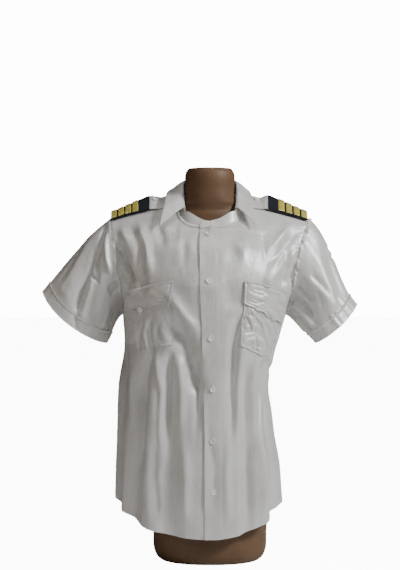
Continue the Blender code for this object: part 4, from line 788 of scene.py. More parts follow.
# Finishes of one grain. size and patches scale it, tint names what mixes the low and high colour,
# rough is the range of roughness and bump the depth and strength of the grain.
Finish = namedtuple("Finish", "name colour roughness size patches tint low high rough bump constants")
FINISHES = {
    "thread": Finish(
        "shirt_thread", (0.82, 0.82, 0.80), 0.48, 2500.0, 40.0,
        "Cloud", (0.76, 0.75, 0.73), (0.84, 0.84, 0.83), None, (0.0001, 0.4), {"Sheen_Weight": 0.1},
    ),
    "felt": Finish(
        "slide_felt", (0.010, 0.012, 0.020), 0.92, 1400.0, 120.0,
        "Grain", (0.004, 0.005, 0.009), (0.014, 0.018, 0.030), None, (0.0005, 0.8),
        {"Specular_IOR_Level": 0.3},
    ),
    "pearl": Finish(
        "pearl_plastic", (0.97, 0.97, 0.96), 0.22, 900.0, 260.0,
        "Cloud", (0.95, 0.95, 0.93), (1.0, 1.0, 0.99), (0.20, 0.30), None,
        {"Coat_Weight": 1.0, "Coat_Roughness": 0.25},
    ),
    "form": Finish(
        "form_paint", (0.105, 0.060, 0.034), 0.55, 420.0, 14.0,
        "Cloud", (0.104, 0.054, 0.026), (0.152, 0.086, 0.044), (0.50, 0.60), (0.0002, 0.3),
        {"Specular_IOR_Level": 0.35},
    ),
}


def grained_material(key, grain):
    """The material of one of the grained finishes."""
    look = FINISHES[key]
    made, tree, shader = new_material(look.name, look.colour, look.roughness, **look.constants)
    fine = grouped(tree, grain, Size=look.size, Patches=look.patches)
    feed(tree, shader, Base_Color=tinted(tree, fine.outputs[look.tint], look.low, look.high))
    if look.rough:
        feed(tree, shader, Roughness=ranged(tree, fine.outputs["Grain"], *look.rough))
    if look.bump:
        feed(tree, shader, Normal=bumped(tree, fine.outputs["Grain"], *look.bump))
    return made


def crease_relief(x, z, creases):
    """Height of the listed creases at places across the front or back, in metres."""
    height = np.zeros(np.broadcast(x, z).shape)
    for crease in creases:
        path = np.array(crease.path, float) / 1000
        steps = np.diff(path, axis=0)
        lengths = np.linalg.norm(steps, axis=1)
        ahead = np.concatenate(([0], np.cumsum(lengths))) / lengths.sum()
        nearest = np.full(height.shape, 9.0)
        signed = np.zeros(height.shape)
        along = np.zeros(height.shape)
        for start, step, length, first, last in zip(path, steps, lengths, ahead, ahead[1:]):
            from_x, from_z = x - start[0], z - start[1]
            run = np.clip((from_x * step[0] + from_z * step[1]) / length**2, 0, 1)
            off_x, off_z = from_x - run * step[0], from_z - run * step[1]
            off = np.hypot(off_x, off_z)
            closer = off < nearest
            nearest = np.where(closer, off, nearest)
            across = (from_x * step[1] - from_z * step[0]) / length
            signed = np.where(closer, np.sign(across), signed)
            along = np.where(closer, first + run * (last - first), along)
        width = crease.half_width / 1000 * (1 + crease.lean * signed)
        fade = smooth(along / crease.fade_in) * smooth((1 - along) / crease.fade_out)
        height += CREASE_DEPTH * crease.depth * fade * np.exp(-((nearest / width) ** 2))
    return height


def lattice(seed):
    return np.random.default_rng(seed).uniform(-1, 1, (64, 64))


def ripples(u, v, size, seed):
    """Smooth random hills about `size` across, from -1 to 1."""
    table = lattice(seed)
    u, v = np.broadcast_arrays(u / size, v / size)
    column, row = np.floor(u).astype(int), np.floor(v).astype(int)
    across, up = smooth(u - column), smooth(v - row)
    corner = [table[(row + i) % 64, (column + j) % 64] for i in (0, 1) for j in (0, 1)]
    low = corner[0] * (1 - across) + corner[1] * across
    high = corner[2] * (1 - across) + corner[3] * across
    return low * (1 - up) + high * up


def crumple(u, v, seed, size=0.030):
    """Small soft wrinkles: ridges where layers of hills change sign."""
    bent = u + 0.35 * size * ripples(u, v, size * 1.3, seed + 7)
    sharp = 0.5 - np.abs(ripples(bent, v * 0.7, size, seed))
    fine = 0.5 - np.abs(ripples(bent, v, size * 0.45, seed + 1))
    return sharp + 0.4 * fine


def surface(at, share, side):
    """The hung cloth with its creases."""
    at, share = np.broadcast_arrays(np.asarray(at, float), np.asarray(share, float))
    points = plain_body(at, share, side)
    out = facing_of(plain_body, at, share, side)
    relief = fold_depth(points, at, share, side)
    front = at < RIDGE
    x, z = points[..., 0], points[..., 2]
    fine = np.where(
        front, crease_relief(x, z, FRONT_CREASES), crease_relief(x, z, BACK_CREASES)
    )
    fine += 0.0009 * crumple(x * 1.3, z * 0.55, 5, 0.050) + 0.0004 * crumple(x, z, 15, 0.022)
    seam = np.exp(-(1 - share) * 0.2 / 0.008)
    pucker = ripples(z, x * 0.2, 0.0042, 31 + side) * seam
    armhole = smooth((at - ARMPIT) / 0.5) * smooth((BACK_ARMPIT - at) / 0.5)
    fine += (0.0003 + ARMHOLE_PUCKER[side] * armhole) * pucker
    relief += fine * smooth((1 - share) / 0.025)
    return points + out * relief[..., None], out


def centre_columns(at, places):
    """Columns of the body at these distances from the band's middle."""
    columns = []
    for place in places:
        x = place + sway(at)
        halves = [surface(at, share_at_x(at, x * side, side), side) for side in (RIGHT, LEFT)]
        on_left = (x >= 0)[:, None]
        columns.append([np.where(on_left, left, right) for right, left in zip(*halves)])
    return [np.stack(layer, axis=1) for layer in zip(*columns)]


def corner_places(grid, closed):
    """Cloth coordinates of a grid's points in metres, from the lengths of its lines."""
    if closed:
        grid = np.concatenate((grid, grid[:, :1]), axis=1)
    return np.stack(np.meshgrid(*grid_lengths(grid)), axis=-1)


def quad_normals(points, quads):
    corner = points[quads]
    return np.cross(corner[:, 2] - corner[:, 0], corner[:, 3] - corner[:, 1])


def turned_in(points, quads, facing):
    """Whether a grid's quads face against its normals."""
    return (quad_normals(points, quads) * facing.reshape(-1, 3)[quads[:, 0]]).sum() < 0


def vertex_normals(points, quads):
    face = quad_normals(points, quads)
    out = np.zeros_like(points)
    for column in range(4):
        np.add.at(out, quads[:, column], face)
    return unit(out)


def cloth(name, patches, finish, thickness=SHELL, closed=False):
    """A thin shell of cloth around grids of points that meet, with the cloth's own places as UVs."""
    points = np.concatenate([grid.reshape(-1, 3) for grid, _ in patches])
    faces, places, first = [], [], 0
    for grid, facing in patches:
        rows, columns = grid.shape[:2]
        quads = grid_faces(rows, columns, closed)
        uv = corner_places(grid, closed)
        spots = np.stack((uv[:-1, :-1], uv[:-1, 1:], uv[1:, 1:], uv[1:, :-1]), axis=-2)
        spots = spots.reshape(-1, 4, 2)
        if turned_in(grid.reshape(-1, 3), quads, facing):
            quads, spots = quads[:, ::-1], spots[:, ::-1]
        faces.append(quads + first)
        places.append(spots)
        first += rows * columns
    _, kept, welded = np.unique(
        np.round(points, 6), axis=0, return_index=True, return_inverse=True
    )
    points = points[kept]
    quads = welded.reshape(-1)[np.concatenate(faces)]
    places = np.concatenate(places)
    out = vertex_normals(points, quads)
    count = len(points)
    ends = np.stack((quads, np.roll(quads, -1, axis=1)), axis=-1).reshape(-1, 2)
    spots = np.stack((places, np.roll(places, -1, axis=1)), axis=-2).reshape(-1, 2, 2)
    whole = ends[:, 0] != ends[:, 1]
    ends, spots = ends[whole], spots[whole]
    there = set(map(tuple, ends.tolist()))
    open_edge = np.array([(b, a) not in there for a, b in ends.tolist()])
    rim_ends, rim_spots = ends[open_edge], spots[open_edge]
    rim = np.stack(
        (rim_ends[:, 1], rim_ends[:, 0], rim_ends[:, 0] + count, rim_ends[:, 1] + count), axis=1
    )
    rim_places = rim_spots[:, (1, 0, 0, 1)]
    lift = out * thickness / 2
    vertices = np.concatenate((points + lift, points - lift))
    every = np.concatenate((quads, quads[:, ::-1] + count, rim))
    spots = np.concatenate((places, places[:, ::-1], rim_places))
    return mesh_piece(name, vertices, every, finish, spots)


def placed(name, data):
    """A new object in the scene."""
    made = bpy.data.objects.new(name, data)
    bpy.context.scene.collection.objects.link(made)
    return made


def mesh_piece(name, vertices, faces, finish, places=None, sharp=50):
    """A smooth mesh object with its finish, riding on the shirt."""
    mesh = bpy.data.meshes.new(name)
    faces = faces if isinstance(faces, list) else faces.tolist()
    mesh.from_pydata(vertices.tolist(), [], faces)
    if places is not None:
        layer = mesh.uv_layers.new(name="cloth")
        layer.data.foreach_set("uv", places.astype(np.float32).reshape(-1))
    mesh.materials.append(finish)
    mesh.validate()
    piece = placed(name, mesh)
    select_only(piece)
    bpy.ops.object.shade_smooth_by_angle(angle=math.radians(sharp))
    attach(piece, "root")
    return piece


def select_only(piece):
    bpy.ops.object.select_all(action="DESELECT")
    piece.select_set(True)
    bpy.context.view_layer.objects.active = piece


def lifted(patch, lift):
    """The patch moved out along the normals of its own grid."""
    points, facing = patch
    out = outward(points, facing)
    lift = np.broadcast_to(lift, points.shape[:2])
    return points + out * lift[..., None], out


def resampled(path, spacing):
    """Points at even spacing along a path."""
    run = distances(path)
    count = max(2, int(run[-1] / spacing))
    return taken_at(np.linspace(0, run[-1], count + 1), run, path)


def stitch_mesh(starts, ends, out, radius):
    """Small spindles of thread from starts to ends, as vertices and faces."""
    along = unit(ends - starts)
    side = unit(np.cross(along, out))
    up = np.cross(side, along)
    length = np.linalg.norm(ends - starts, axis=1)[:, None]
    rings = [starts - up * radius]
    for share, size, height in ((0.22, 1.0, 0.5), (0.78, 1.0, 0.5)):
        middle = starts + along * length * share + up * radius * height
        for across, rise in ((1, 0), (0, 1), (-1, 0), (0, -1)):
            rings.append(middle + (side * across + up * rise) * radius * size)
    rings.append(ends - up * radius)
    vertices = np.stack(rings, axis=1).reshape(-1, 3)
    one = []
    for k in range(4):
        following = (k + 1) % 4
        one.append((0, 1 + following, 1 + k))
        one.append((1 + k, 1 + following, 5 + following))
        one.append((1 + k, 5 + following, 5 + k))
        one.append((9, 5 + k, 5 + following))
    one = np.array(one)
    faces = (one[None] + 10 * np.arange(len(starts))[:, None, None]).reshape(-1, 3)
    return vertices, faces


def stitched(name, paths, finish):
    """Rows of stitches along paths of (points, normals), in one piece."""
    vertices, faces, first = [], [], 0
    for path, out in paths:
        points = resampled(path, STITCH_LENGTH + STITCH_GAP)
        if len(points) < 3:
            continue
        facing = resampled_normals(path, out, len(points))
        starts = points[:-1] + facing[:-1] * STITCH_RADIUS * 0.4
        share = STITCH_LENGTH / (STITCH_LENGTH + STITCH_GAP)
        ends = starts + (points[1:] - points[:-1]) * share
        more, shapes = stitch_mesh(starts, ends, facing[:-1], STITCH_RADIUS)
        vertices.append(more)
        faces.append(shapes + first)
        first += len(more)
    return mesh_piece(name, np.concatenate(vertices), np.concatenate(faces), finish)


def resampled_normals(path, out, count):
    """Normals at as many even places along a path."""
    run = distances(path)
    return unit(taken_at(np.linspace(0, run[-1], count), run, out))


def edge_path(patch, edge, inset, thickness=SHELL):
    """A line `inset` inside a patch's edge, on its outer face."""
    points, facing = patch
    lines, normals = points, outward(points, facing)
    if edge in ("left", "right"):
        lines, normals = lines.swapaxes(0, 1), normals.swapaxes(0, 1)
    if edge in ("top", "right"):
        lines, normals = lines[::-1], normals[::-1]
    steps = np.linalg.norm(np.diff(lines, axis=0), axis=2)
    run = np.concatenate((np.zeros((1, steps.shape[1])), np.cumsum(steps, axis=0)))
    path, facing = [], []
    for column in range(lines.shape[1]):
        path.append(taken_at(inset, run[:, column], lines[:, column]))
        facing.append(taken_at(inset, run[:, column], normals[:, column]))
    path, facing = np.array(path), unit(np.array(facing))
    return path + facing * thickness / 2, facing


def trimmed(path, start, end):
    """A path of (points, normals) without its first and last few millimetres."""
    points, out = path
    run = distances(points)
    inside = (run > start) & (run < run[-1] - end)
    return points[inside], out[inside]


def front_grid(side, start_x):
    """A front's fine grid from the band out. Its lines dip to the pocket's and the flap's points."""
    below = np.minimum(FRONT_LINES, PIT)
    start = share_at_x(below, start_x + sway(below) * side, side)
    start = np.where(FRONT_LINES <= PIT, start, 0.0)[:, None]
    near = start + (POCKET_INNER - start) * np.linspace(0, 1, NEAR_COLUMNS, endpoint=False)
    far = spread(
        (POCKET_INNER, 9), (POCKET_INNER + 0.05, POCKET_STEPS - 18), (POCKET_OUTER - 0.05, 9),
        (POCKET_OUTER, FAR_STEPS), 1.0,
    )
    share = np.concatenate((near, np.broadcast_to(far, (len(FRONT_LINES), len(far)))), axis=1)
    corners = (0.065, POCKET_INNER, (POCKET_INNER + POCKET_OUTER) / 2, POCKET_OUTER, 1.0)
    pocket, flap = (np.interp(share, corners, (0, *dips)) for dips in DIPS[side])
    line = np.arange(len(FRONT_LINES))[:, None]
    dip = pocket * np.interp(line, (ROW_OF_POCKET - 30, ROW_OF_POCKET, ROW_OF_ARMPIT), (0, 1, 0))
    dip += flap * np.interp(line, (ROW_OF_POCKET, ROW_OF_ARMPIT, ROW_OF_POCKET_TOP), (0, 1, 0))
    return surface(FRONT_LINES[:, None] - dip, share, side)


def sewn_seam(patch, *edges):
    """The patch with these edges drawn in by half a seam's gap."""
    points = patch[0].copy()
    lines = {
        "bottom": (points[0], points[1]),
        "top": (points[-1], points[-2]),
        "outer": (points[:, -1], points[:, -2]),
    }
    for edge in edges:
        line, neighbour = lines[edge]
        line += unit(neighbour - line) * SEAM / 2
    return points, patch[1]


def declare(solid):
    """The piece stands for its solid, which is hidden."""
    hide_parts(solid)


def make_fronts(finishes):
    """Both fronts, the button band and the stitching along their edges."""
    grids = {"right": front_grid(RIGHT, LAP), "left": front_grid(LEFT, LAP + SEAM)}
    below_neck = FRONT_LINES[: ROW_OF_PIT + 1]
    under = centre_columns(below_neck, np.linspace(-LAP, LAP - SEAM, 11))
    for name, grid in grids.items():
        panel = sewn_seam(grid, "top")
        skirt = slice(0, ROW_OF_ARMPIT + 1)
        panel[0][skirt] = sewn_seam((panel[0][skirt], panel[1][skirt]), "outer")[0]
        patches = [panel, under] if name == "right" else [panel]
        piece = cloth("cloth_front_" + name, patches, finishes["cloth"])
        declare("front_" + name)
    band = centre_columns(below_neck, np.linspace(-LAP, LAP + 0.002, 13))
    edge = np.abs(np.linspace(-1, 1, 13))
    free = np.exp(-np.linspace(0, 1, 13) * 7)[None, :]
    wave = 0.55 + 0.45 * ripples(band[0][..., 2], 0 * band[0][..., 2], 0.030, 131)
    settled = smooth(np.arange(ROW_OF_PIT, -1, -1) / 12)[:, None]
    turned_edge = 0.0004 * smooth((edge - 0.75) / 0.25)[None, :]
    band = lifted(band, LAYER + 0.0002 - turned_edge + 0.0034 * free * wave * settled)
    piece = cloth("cloth_front_band", [band], finishes["cloth"])
    declare("front_band")
    seams = [edge_path(band, edge, inset) for edge, inset in (("left", 0.005), ("right", 0.003))]
    stitched("stitches_band", seams, finishes["thread"])
    return grids, band


def make_yoke_and_back(finishes):
    """The yoke and the back, each from two halves, and the stitches along their seams."""
    halves = []
    for side in (RIGHT, LEFT):
        patch = surface(YOKE_LINES[:, None], BACK_SHARES, side)
        halves.append(sewn_seam(patch, "bottom", "top"))
    # The halves share their whole inner line, so the yoke spans the neck opening too
    halves[1][0][:, 0] = halves[0][0][:, 0]
    piece = cloth("cloth_yoke", halves, finishes["cloth"])
    declare("yoke")
    backs = []
    seam = slice(len(BLADE_LINES) - 1, None)
    for side in (RIGHT, LEFT):
        patch = sewn_seam(surface(BACK_LINES[:, None], BACK_SHARES, side), "bottom")
        patch[0][seam] = sewn_seam((patch[0][seam], patch[1][seam]), "outer")[0]
        backs.append(patch)
    backs[1][0][:, 0] = backs[0][0][:, 0]
    piece = cloth("cloth_back", backs, finishes["cloth"])
    declare("back")
    seams = [edge_path(half, "top", 0.0025) for half in halves]
    seams += [edge_path(half, "bottom", 0.0025) for half in halves]
    seams += [edge_path(half, "top", 0.006) for half in backs]
    stitched("stitches_yoke", seams, finishes["thread"])
    return halves, backs


def make_hem_stitches(grids, backs, finishes):
    """The narrow turned hem's row of stitches, and the side seams' rows."""
    paths = [edge_path(grid, "bottom", 0.007) for grid in grids.values()]
    paths += [edge_path(half, "top", 0.007) for half in backs]
    stitched("stitches_hem", paths, finishes["thread"])
    sides = [edge_path(grid, "right", 0.0065) for grid in grids.values()]
    stitched("stitches_side", sides, finishes["thread"])


def patch_relief(patch, seed, puff, edges=("left", "right", "bottom")):
    """Rise over a sewn-on patch: rolled edges, a sunk row of stitches and puckers beside it."""
    across, up = grid_lengths(patch[0])
    across, up = across[None, :], up[:, None]
    reach = {
        "left": across, "right": across[:, ::-1].max() - across, "bottom": up, "top": up.max() - up
    }
    inside = np.full(patch[0].shape[:2], 1.0)
    for edge in edges:
        inside = np.minimum(inside, reach[edge])
    roll = 0.0008 * bell(inside, 0.0008, 0.0016)
    sunk = -0.0006 * bell(inside, 0.0045, 0.0018)
    soft = puff * smooth((inside - 0.005) / 0.014)
    around = across + up
    pucker = ripples(around, 0 * around, 0.0042, seed) * np.exp(-(inside - 0.004) ** 2 / 0.006**2)
    return roll + sunk + soft + 0.0006 * pucker


def make_pockets(grids, finishes):
    """The pockets and their pointed flaps, made from the fronts' own points."""
    flaps = {}
    for name, grid in grids.items():
        side = RIGHT if name == "right" else LEFT
        columns = slice(NEAR_COLUMNS, NEAR_COLUMNS + POCKET_STEPS + 1)
        rows = slice(ROW_OF_POCKET, ROW_OF_POCKET_TOP + 1)
        pocket = (grid[0][rows, columns], grid[1][rows, columns])
        shape = pocket[0].shape
        u, v = pocket[0][..., 0], pocket[0][..., 2]
        worn = POCKET_WEAR[side]
        lift = LAYER + 0.0002 + patch_relief(pocket, 101 + side, 0.0010)
        edge = np.minimum(*np.meshgrid(hump(shape[1]), hump(shape[0])))
        wrinkles = crumple(u + 0.2 * v, v * 0.22, 71 + side, 0.009)
        lift = lift + edge * worn * np.maximum(wrinkles + 0.3, 0)
        top = np.interp(np.arange(shape[0]), (shape[0] - 14, shape[0] - 1), (1, 0.2))[:, None]
        lift = LAYER + (lift - LAYER) * top
        patch = lifted(pocket, lift)
        piece = cloth("cloth_pocket_" + name, [patch], finishes["cloth"])
        declare("pocket_" + name)
        paths = [edge_path(patch, edge, 0.0018) for edge in ("left", "right", "bottom")]

        rows = slice(ROW_OF_ARMPIT, ROW_OF_FLAP_TOP + 1)
        flap = (grid[0][rows, columns], grid[1][rows, columns])
        shape = flap[0].shape
        u, v = flap[0][..., 0], flap[0][..., 2]
        line = np.arange(shape[0])[:, None]
        steps = shape[0] - 1
        over = 2 * LAYER + 0.0016
        stops = (0, steps * 0.6, steps - 4, steps - 1, steps)
        levels = (over + 0.0010, over + 0.0004, over - 0.0006, over + 0.0006, LAYER)
        rise = np.interp(line, stops, levels)
        rise = rise + patch_relief(flap, 111 + side, 0.0006, ("left", "right", "bottom", "top"))
        buckle = ripples(u, 0 * v, 0.0075, 91 + side) * np.exp(-line / 5.0)
        wrinkles = crumple(u * 0.5 + v, v * 0.2, 81 + side, 0.009)
        edge = hump(shape[1])[None, :]
        rise = rise + 0.0011 * buckle + edge * worn * 0.7 * np.maximum(wrinkles + 0.3, 0)
        patch = lifted(flap, rise)
        flaps[name] = patch
        piece = cloth("cloth_flap_" + name, [patch], finishes["cloth"])
        declare("flap_" + name)
        for inset in (0.0016, 0.0060):
            for edge in ("left", "right", "bottom"):
                paths.append(trimmed(edge_path(patch, edge, inset), inset, inset))
        paths.append(edge_path(patch, "top", 0.003))
        stitched("stitches_pocket_" + name, paths, finishes["thread"])
    return flaps


def hump(count):
    place = np.linspace(0, 1, count)
    return smooth(np.minimum(place, 1 - place) / 0.10)


def make_sleeves(finishes):
    """Set-in sleeves with their creases, turned-up hems and armhole stitching."""
    for name, cuff in CUFFS.items():
        edge, _ = surface(ARMHOLE_LINES, 1.0, cuff.side)
        facing = facing_of(plain_body, ARMHOLE_LINES, np.ones(len(ARMHOLE_LINES)), cuff.side)
        peak = int(np.argmin(np.abs(ARMHOLE_LINES - RIDGE)))
        rise = edge[peak] - edge[0]
        outward = unit(np.array((rise[2] * cuff.side, 0.0, -rise[0] * cuff.side)))
        start = edge + outward * (1.5 * SEAM + CLOTH / 2 * np.abs(dot(facing, outward)))
        steps = np.linalg.norm(np.roll(edge, -1, axis=0) - edge, axis=1)
        run = np.concatenate(([0], np.cumsum(steps)))
        turn = np.interp(run[:-1], (0, run[peak], run[-1]), (0, 0.5, 1))
        angle = 2 * math.pi * turn
        to_top = np.array(cuff.to_top)
        axis = unit(np.cross((0, cuff.side, 0), to_top))
        front = np.clip(np.sin(angle), 0, None) ** 1.5 * cuff.front_dip
        back = np.clip(-np.sin(angle), 0, None) ** 1.5 * cuff.back_dip
        end = (
            np.array(cuff.centre)
            - np.cos(angle)[:, None] * to_top
            - np.sin(angle)[:, None] * np.array((0, cuff.half_depth, 0))
            + (front + back)[:, None] * axis
        )
        length = np.linalg.norm(end - start, axis=1)[:, None]
        leave = unit(outward * 0.35 + axis * 0.65)
        hem = 1 - SLEEVE_HEM / length[:, 0]
        share = np.concatenate((
            np.linspace(0, 1, SLEEVE_STEPS, endpoint=False)[:, None] ** 1.3 * hem,
            hem + np.linspace(0, 1, HEM_STEPS + 1)[:, None] * (1 - hem),
        ))
        grid = bezier(start, start + leave * length * 0.3, end - axis * length * 0.3, end, share)
        depth = np.zeros(share.shape)
        for fold in SLEEVE_FOLDS:
            if fold.side != cuff.side:
                continue
            along = np.clip((share - fold.run_1) / (fold.run_2 - fold.run_1), 0, 1)
            middle = fold.turn_1 + (fold.turn_2 - fold.turn_1) * along
            off = np.abs(turn - middle) / fold.half_width
            depth += fold.depth * smooth(along / 0.4) * np.clip(1 - off**2, 0, 1) ** 2
        round_the_cuff = turn * SLEEVE_ROUND
        around = round_the_cuff[None, :] + 0 * share
        fine = crease_relief(round_the_cuff[None, :], share * SLEEVE_DOWN, SLEEVE_CREASES[name])
        off_seam = smooth(np.minimum(turn, 1 - turn) / 0.03)
        worn = crumple(round_the_cuff[None, :] * 0.8, share * SLEEVE_DOWN, 41 + cuff.side, 0.040)
        fine += 0.0009 * worn * off_seam * smooth(share / 0.08)
        flare = smooth((share - hem + 0.06) / 0.06)
        hem_pucker = off_seam * ripples(around, 0 * share, 0.008, 51 + cuff.side)
        fine += HEM_PUCKER[cuff.side] * hem_pucker * flare
        head = off_seam * ripples(around, 0 * share, 0.0046, 61 + cuff.side)
        fine += HEAD_PUCKER[cuff.side] * head * np.exp(-share / 0.045) * smooth(share / 0.015)
        eased = 1 - 0.6 * smooth((share - hem + 0.12) / 0.12)
        fine *= eased
        gather, bead = SEAM_BEADS[cuff.side]
        fine += (gather + bead * head) * bell(share * 0.22, 0.0050, 0.0032)
        out = tube_normals(grid)
        grid = grid + out * (depth * eased + fine)[..., None]
        out = tube_normals(grid)
        piece = cloth("cloth_sleeve_" + name, [(grid, out)], finishes["cloth"], closed=True)
        declare("sleeve_" + name)
        band = slice(SLEEVE_STEPS, None)
        down = np.linspace(0, SLEEVE_HEM, HEM_STEPS + 1)[:, None]
        ridge = LAYER + 0.0017 * np.exp(-down / 0.0026) - 0.0005 * bell(down, 0.006, 0.002)
        ridge = ridge + 0.0006 * bell(down, SLEEVE_HEM, 0.003)
        hem_patch = (grid[band] + out[band] * ridge[..., None], out[band])
        piece = cloth("cloth_sleeve_hem_" + name, [hem_patch], finishes["cloth"], closed=True)
        declare("sleeve_hem_" + name)
        loops = [looped(hem_patch, row) for row in (3, HEM_STEPS - 1)]
        loops.append(looped((grid, out), 2))
        stitched("stitches_sleeve_" + name, loops, finishes["thread"])


def looped(patch, row):
    """A closed line of stitches round a tube."""
    points, out = patch[0][row], patch[1][row]
    points = points + out * SHELL / 2
    return np.concatenate((points, points[:1])), np.concatenate((out, out[:1]))


def neck_places():
    """Places on the neckline from the right front's end to the left's."""
    lines = FRONT_LINES[ROW_OF_PIT + 1 : -1]
    return np.concatenate((lines, YOKE_LINES[YOKE_LINES <= NAPE]))


def curve_at(table, column, place, key="place", pull=1.0):
    """A column of a table keyed by place, as a smooth curve through its rows."""
    keys = np.array([getattr(row, key) for row in table])
    values = np.array([getattr(row, column) for row in table])
    slopes = np.gradient(values, keys)
    place = np.clip(place, keys[0], keys[-1])
    index = np.clip(np.searchsorted(keys, place) - 1, 0, len(keys) - 2)
    step = keys[index + 1] - keys[index]
    leave, arrive = slopes[index] * step * pull, slopes[index + 1] * step * pull
    return hermite((place - keys[index]) / step, values[index], values[index + 1], leave, arrive)


def make_collar(finishes):
    """The stand that rises from the neckline, and the leaf that folds down over it."""
    right_end = (LAP, 0.013, 0.009, 0.0045, 0.0, -0.0045, -0.009)
    left_end = (0.009, 0.0045, 0.0, -0.0045, -0.009, -0.013, -LAP)
    ends = centre_columns(np.array([float(PIT)]), right_end + left_end)
    half = len(right_end)
    places = neck_places()
    right = surface(places, 0.0, RIGHT)
    left = surface(places[:-1][::-1], 0.0, LEFT)
    base, facing = (
        np.concatenate((end[0, :half], one, other, end[0, half:]))
        for end, one, other in zip(ends, right, left)
    )
    flat = np.full(half, float(PIT))
    place = np.concatenate((flat, places, places[:-1][::-1], flat))
    turn = np.linspace(-1, 1, len(base))
    side = np.where(turn < 0.001, RIGHT, LEFT)
    off_centre = np.where(place == PIT, base[:, 0], 0.0)
    top = stack(
        curve_at(STAND_TOP, "x", place) * side + off_centre * 0.96,
        curve_at(STAND_TOP, "y", place) + off_centre**2 * 8,
        curve_at(STAND_TOP, "z", place) + np.abs(off_centre) * 0.30,
    )
    along = np.gradient(base, axis=0)
    inward = unit(np.cross(facing, along))
    inward *= np.sign(dot(inward, stack(0, 0.0, 0.80) - base))
    out = unit(np.cross(top - base, along))
    out *= np.sign(dot(out, base - stack(0, 0.0, 0.78)))
    out = evened(out, 4)
    offset = (turn * (COLLAR_CLOTH + SEAM) / 2)[:, None]
    base_out = facing
    outer_end = smooth(1 - np.arange(len(base))[::-1] / 14)[:, None]
    lean = np.abs(dot(out, inward))
    foot = base + inward * (SEAM + 0.0002 + (COLLAR_CLOTH / 2 + np.maximum(offset, 0)) * lean)
    rise = unit(top - foot)
    from_end = np.minimum(np.arange(len(base)), np.arange(len(base))[::-1])
    height = np.interp(from_end, (0, 1, 2, 4, 7), (0.30, 0.58, 0.78, 0.93, 1.0))[:, None]
    share = np.linspace(0, 1, 13)[:, None, None]
    stand = foot + (top - foot) * height * share + out * (offset + 0.0016 * outer_end)
    lapped = smooth((np.arange(len(base)) - half) / 4)[:, None]
    over_band = (LAYER + 0.0004) * (from_end < half + 1)[:, None]
    lip = base + base_out * (0.0015 + over_band) - inward * 0.0020
    bend = base + base_out * (0.0018 + over_band) - inward * 0.0002
    stand[0] += (lip - stand[0]) * lapped
    stand[1] += (bend - stand[1]) * lapped
    facing = np.broadcast_to(out, stand.shape)
    piece = cloth("cloth_collar_stand", [(stand, facing)], finishes["cloth"], COLLAR_SHELL)
    declare("collar_stand")
    paths = [edge_path((stand, facing), name, 0.0022, COLLAR_SHELL) for name in ("top", "bottom")]

    folded = np.flatnonzero(place >= LEAF_EDGE[0].place - 1e-6)
    place, rise, out = place[folded], rise[folded], out[folded]
    start = stand[-1][folded] + rise * (2 * SEAM + COLLAR_CLOTH / 2)
    edge_x = np.where(
        side[folded] == RIGHT, -curve_at(LEAF_EDGE, "right", place), curve_at(LEAF_EDGE, "left", place)
    )
    edge = stack(edge_x, curve_at(LEAF_EDGE, "y", place), curve_at(LEAF_EDGE, "z", place))
    start, edge = rounded_nape(start, turn[folded]), rounded_nape(edge, turn[folded])
    away = unit((edge - start) * (1, 1, 0.2))
    share = spread((0, 12), (0.24, 19), 1)[:, None]
    leave = start + rise * 0.0140 + away * 0.0020
    arrive = edge - (edge - start) * 0.55 + away * 0.012
    leaf = bezier(start, leave, arrive, edge, share + 0 * place)
    leaf_out = grid_normals(leaf)
    leaf_out *= np.sign(dot(leaf_out[-1], out).mean())
    around = np.cumsum(np.linalg.norm(np.gradient(leaf[-1], axis=0), axis=1))
    wave = ripples(around[None, :] + 0 * share, share * 0.06, 0.035, 21)
    lift = 0.0008 * wave * smooth(share / 0.4) + 0.0022 * smooth((share - 0.72) / 0.28)
    leaf = leaf + leaf_out * lift[..., None]
    piece = cloth("cloth_collar_leaf", [(leaf, leaf_out)], finishes["cloth"], COLLAR_SHELL)
    declare("collar_leaf")
    for name in ("top", "left", "right"):
        paths.append(trimmed(edge_path((leaf, leaf_out), name, 0.005, COLLAR_SHELL), 0.005, 0.005))
    stitched("stitches_collar", paths, finishes["thread"])


def rounded_nape(line, turn):
    """The line with its middle eased, where the two halves meet behind the neck."""
    near = smooth((0.45 - np.abs(turn[1:-1])) / 0.3)[:, None]
    for _ in range(160):
        even = (line[:-2] + line[2:]) / 2
        line = np.concatenate((line[:1], line[1:-1] + (even - line[1:-1]) * near * 0.5, line[-1:]))
    return line


def evened(vectors, times):
    """Directions smoothed along their line."""
    for _ in range(times):
        inner = (vectors[:-2] + 2 * vectors[1:-1] + vectors[2:]) / 4
        vectors = unit(np.concatenate((vectors[:1], inner, vectors[-1:])))
    return vectors


def find_on_shoulder(side, x, y):
    """The plain shoulder's points and normals at these distances from the centre and from y = 0."""
    at, share, step = np.full(x.shape, 12.0), (x - 0.07) / 0.15, 1e-3
    goal = stack(x * side, y, 0)[..., :2]
    for _ in range(12):
        here = plain_body(at, share, side)[..., :2]
        by_at = (plain_body(at + step, share, side)[..., :2] - here) / step
        by_share = (plain_body(at, share + step, side)[..., :2] - here) / step
        miss = goal - here
        area = by_at[..., 0] * by_share[..., 1] - by_at[..., 1] * by_share[..., 0]
        at = at + (miss[..., 0] * by_share[..., 1] - miss[..., 1] * by_share[..., 0]) / area
        share = share + (by_at[..., 0] * miss[..., 1] - by_at[..., 1] * miss[..., 0]) / area
        at, share = np.clip(at, 9.5, 14.5), np.clip(share, 0.0, 1.1)
    return hung_body(at, share, side), facing_of(plain_body, at, share, side)


def ramp_of(shoulder):
    """Where the strap starts to rise towards its slide, and where it has risen."""
    return shoulder.ramp, shoulder.slide_start - 0.002


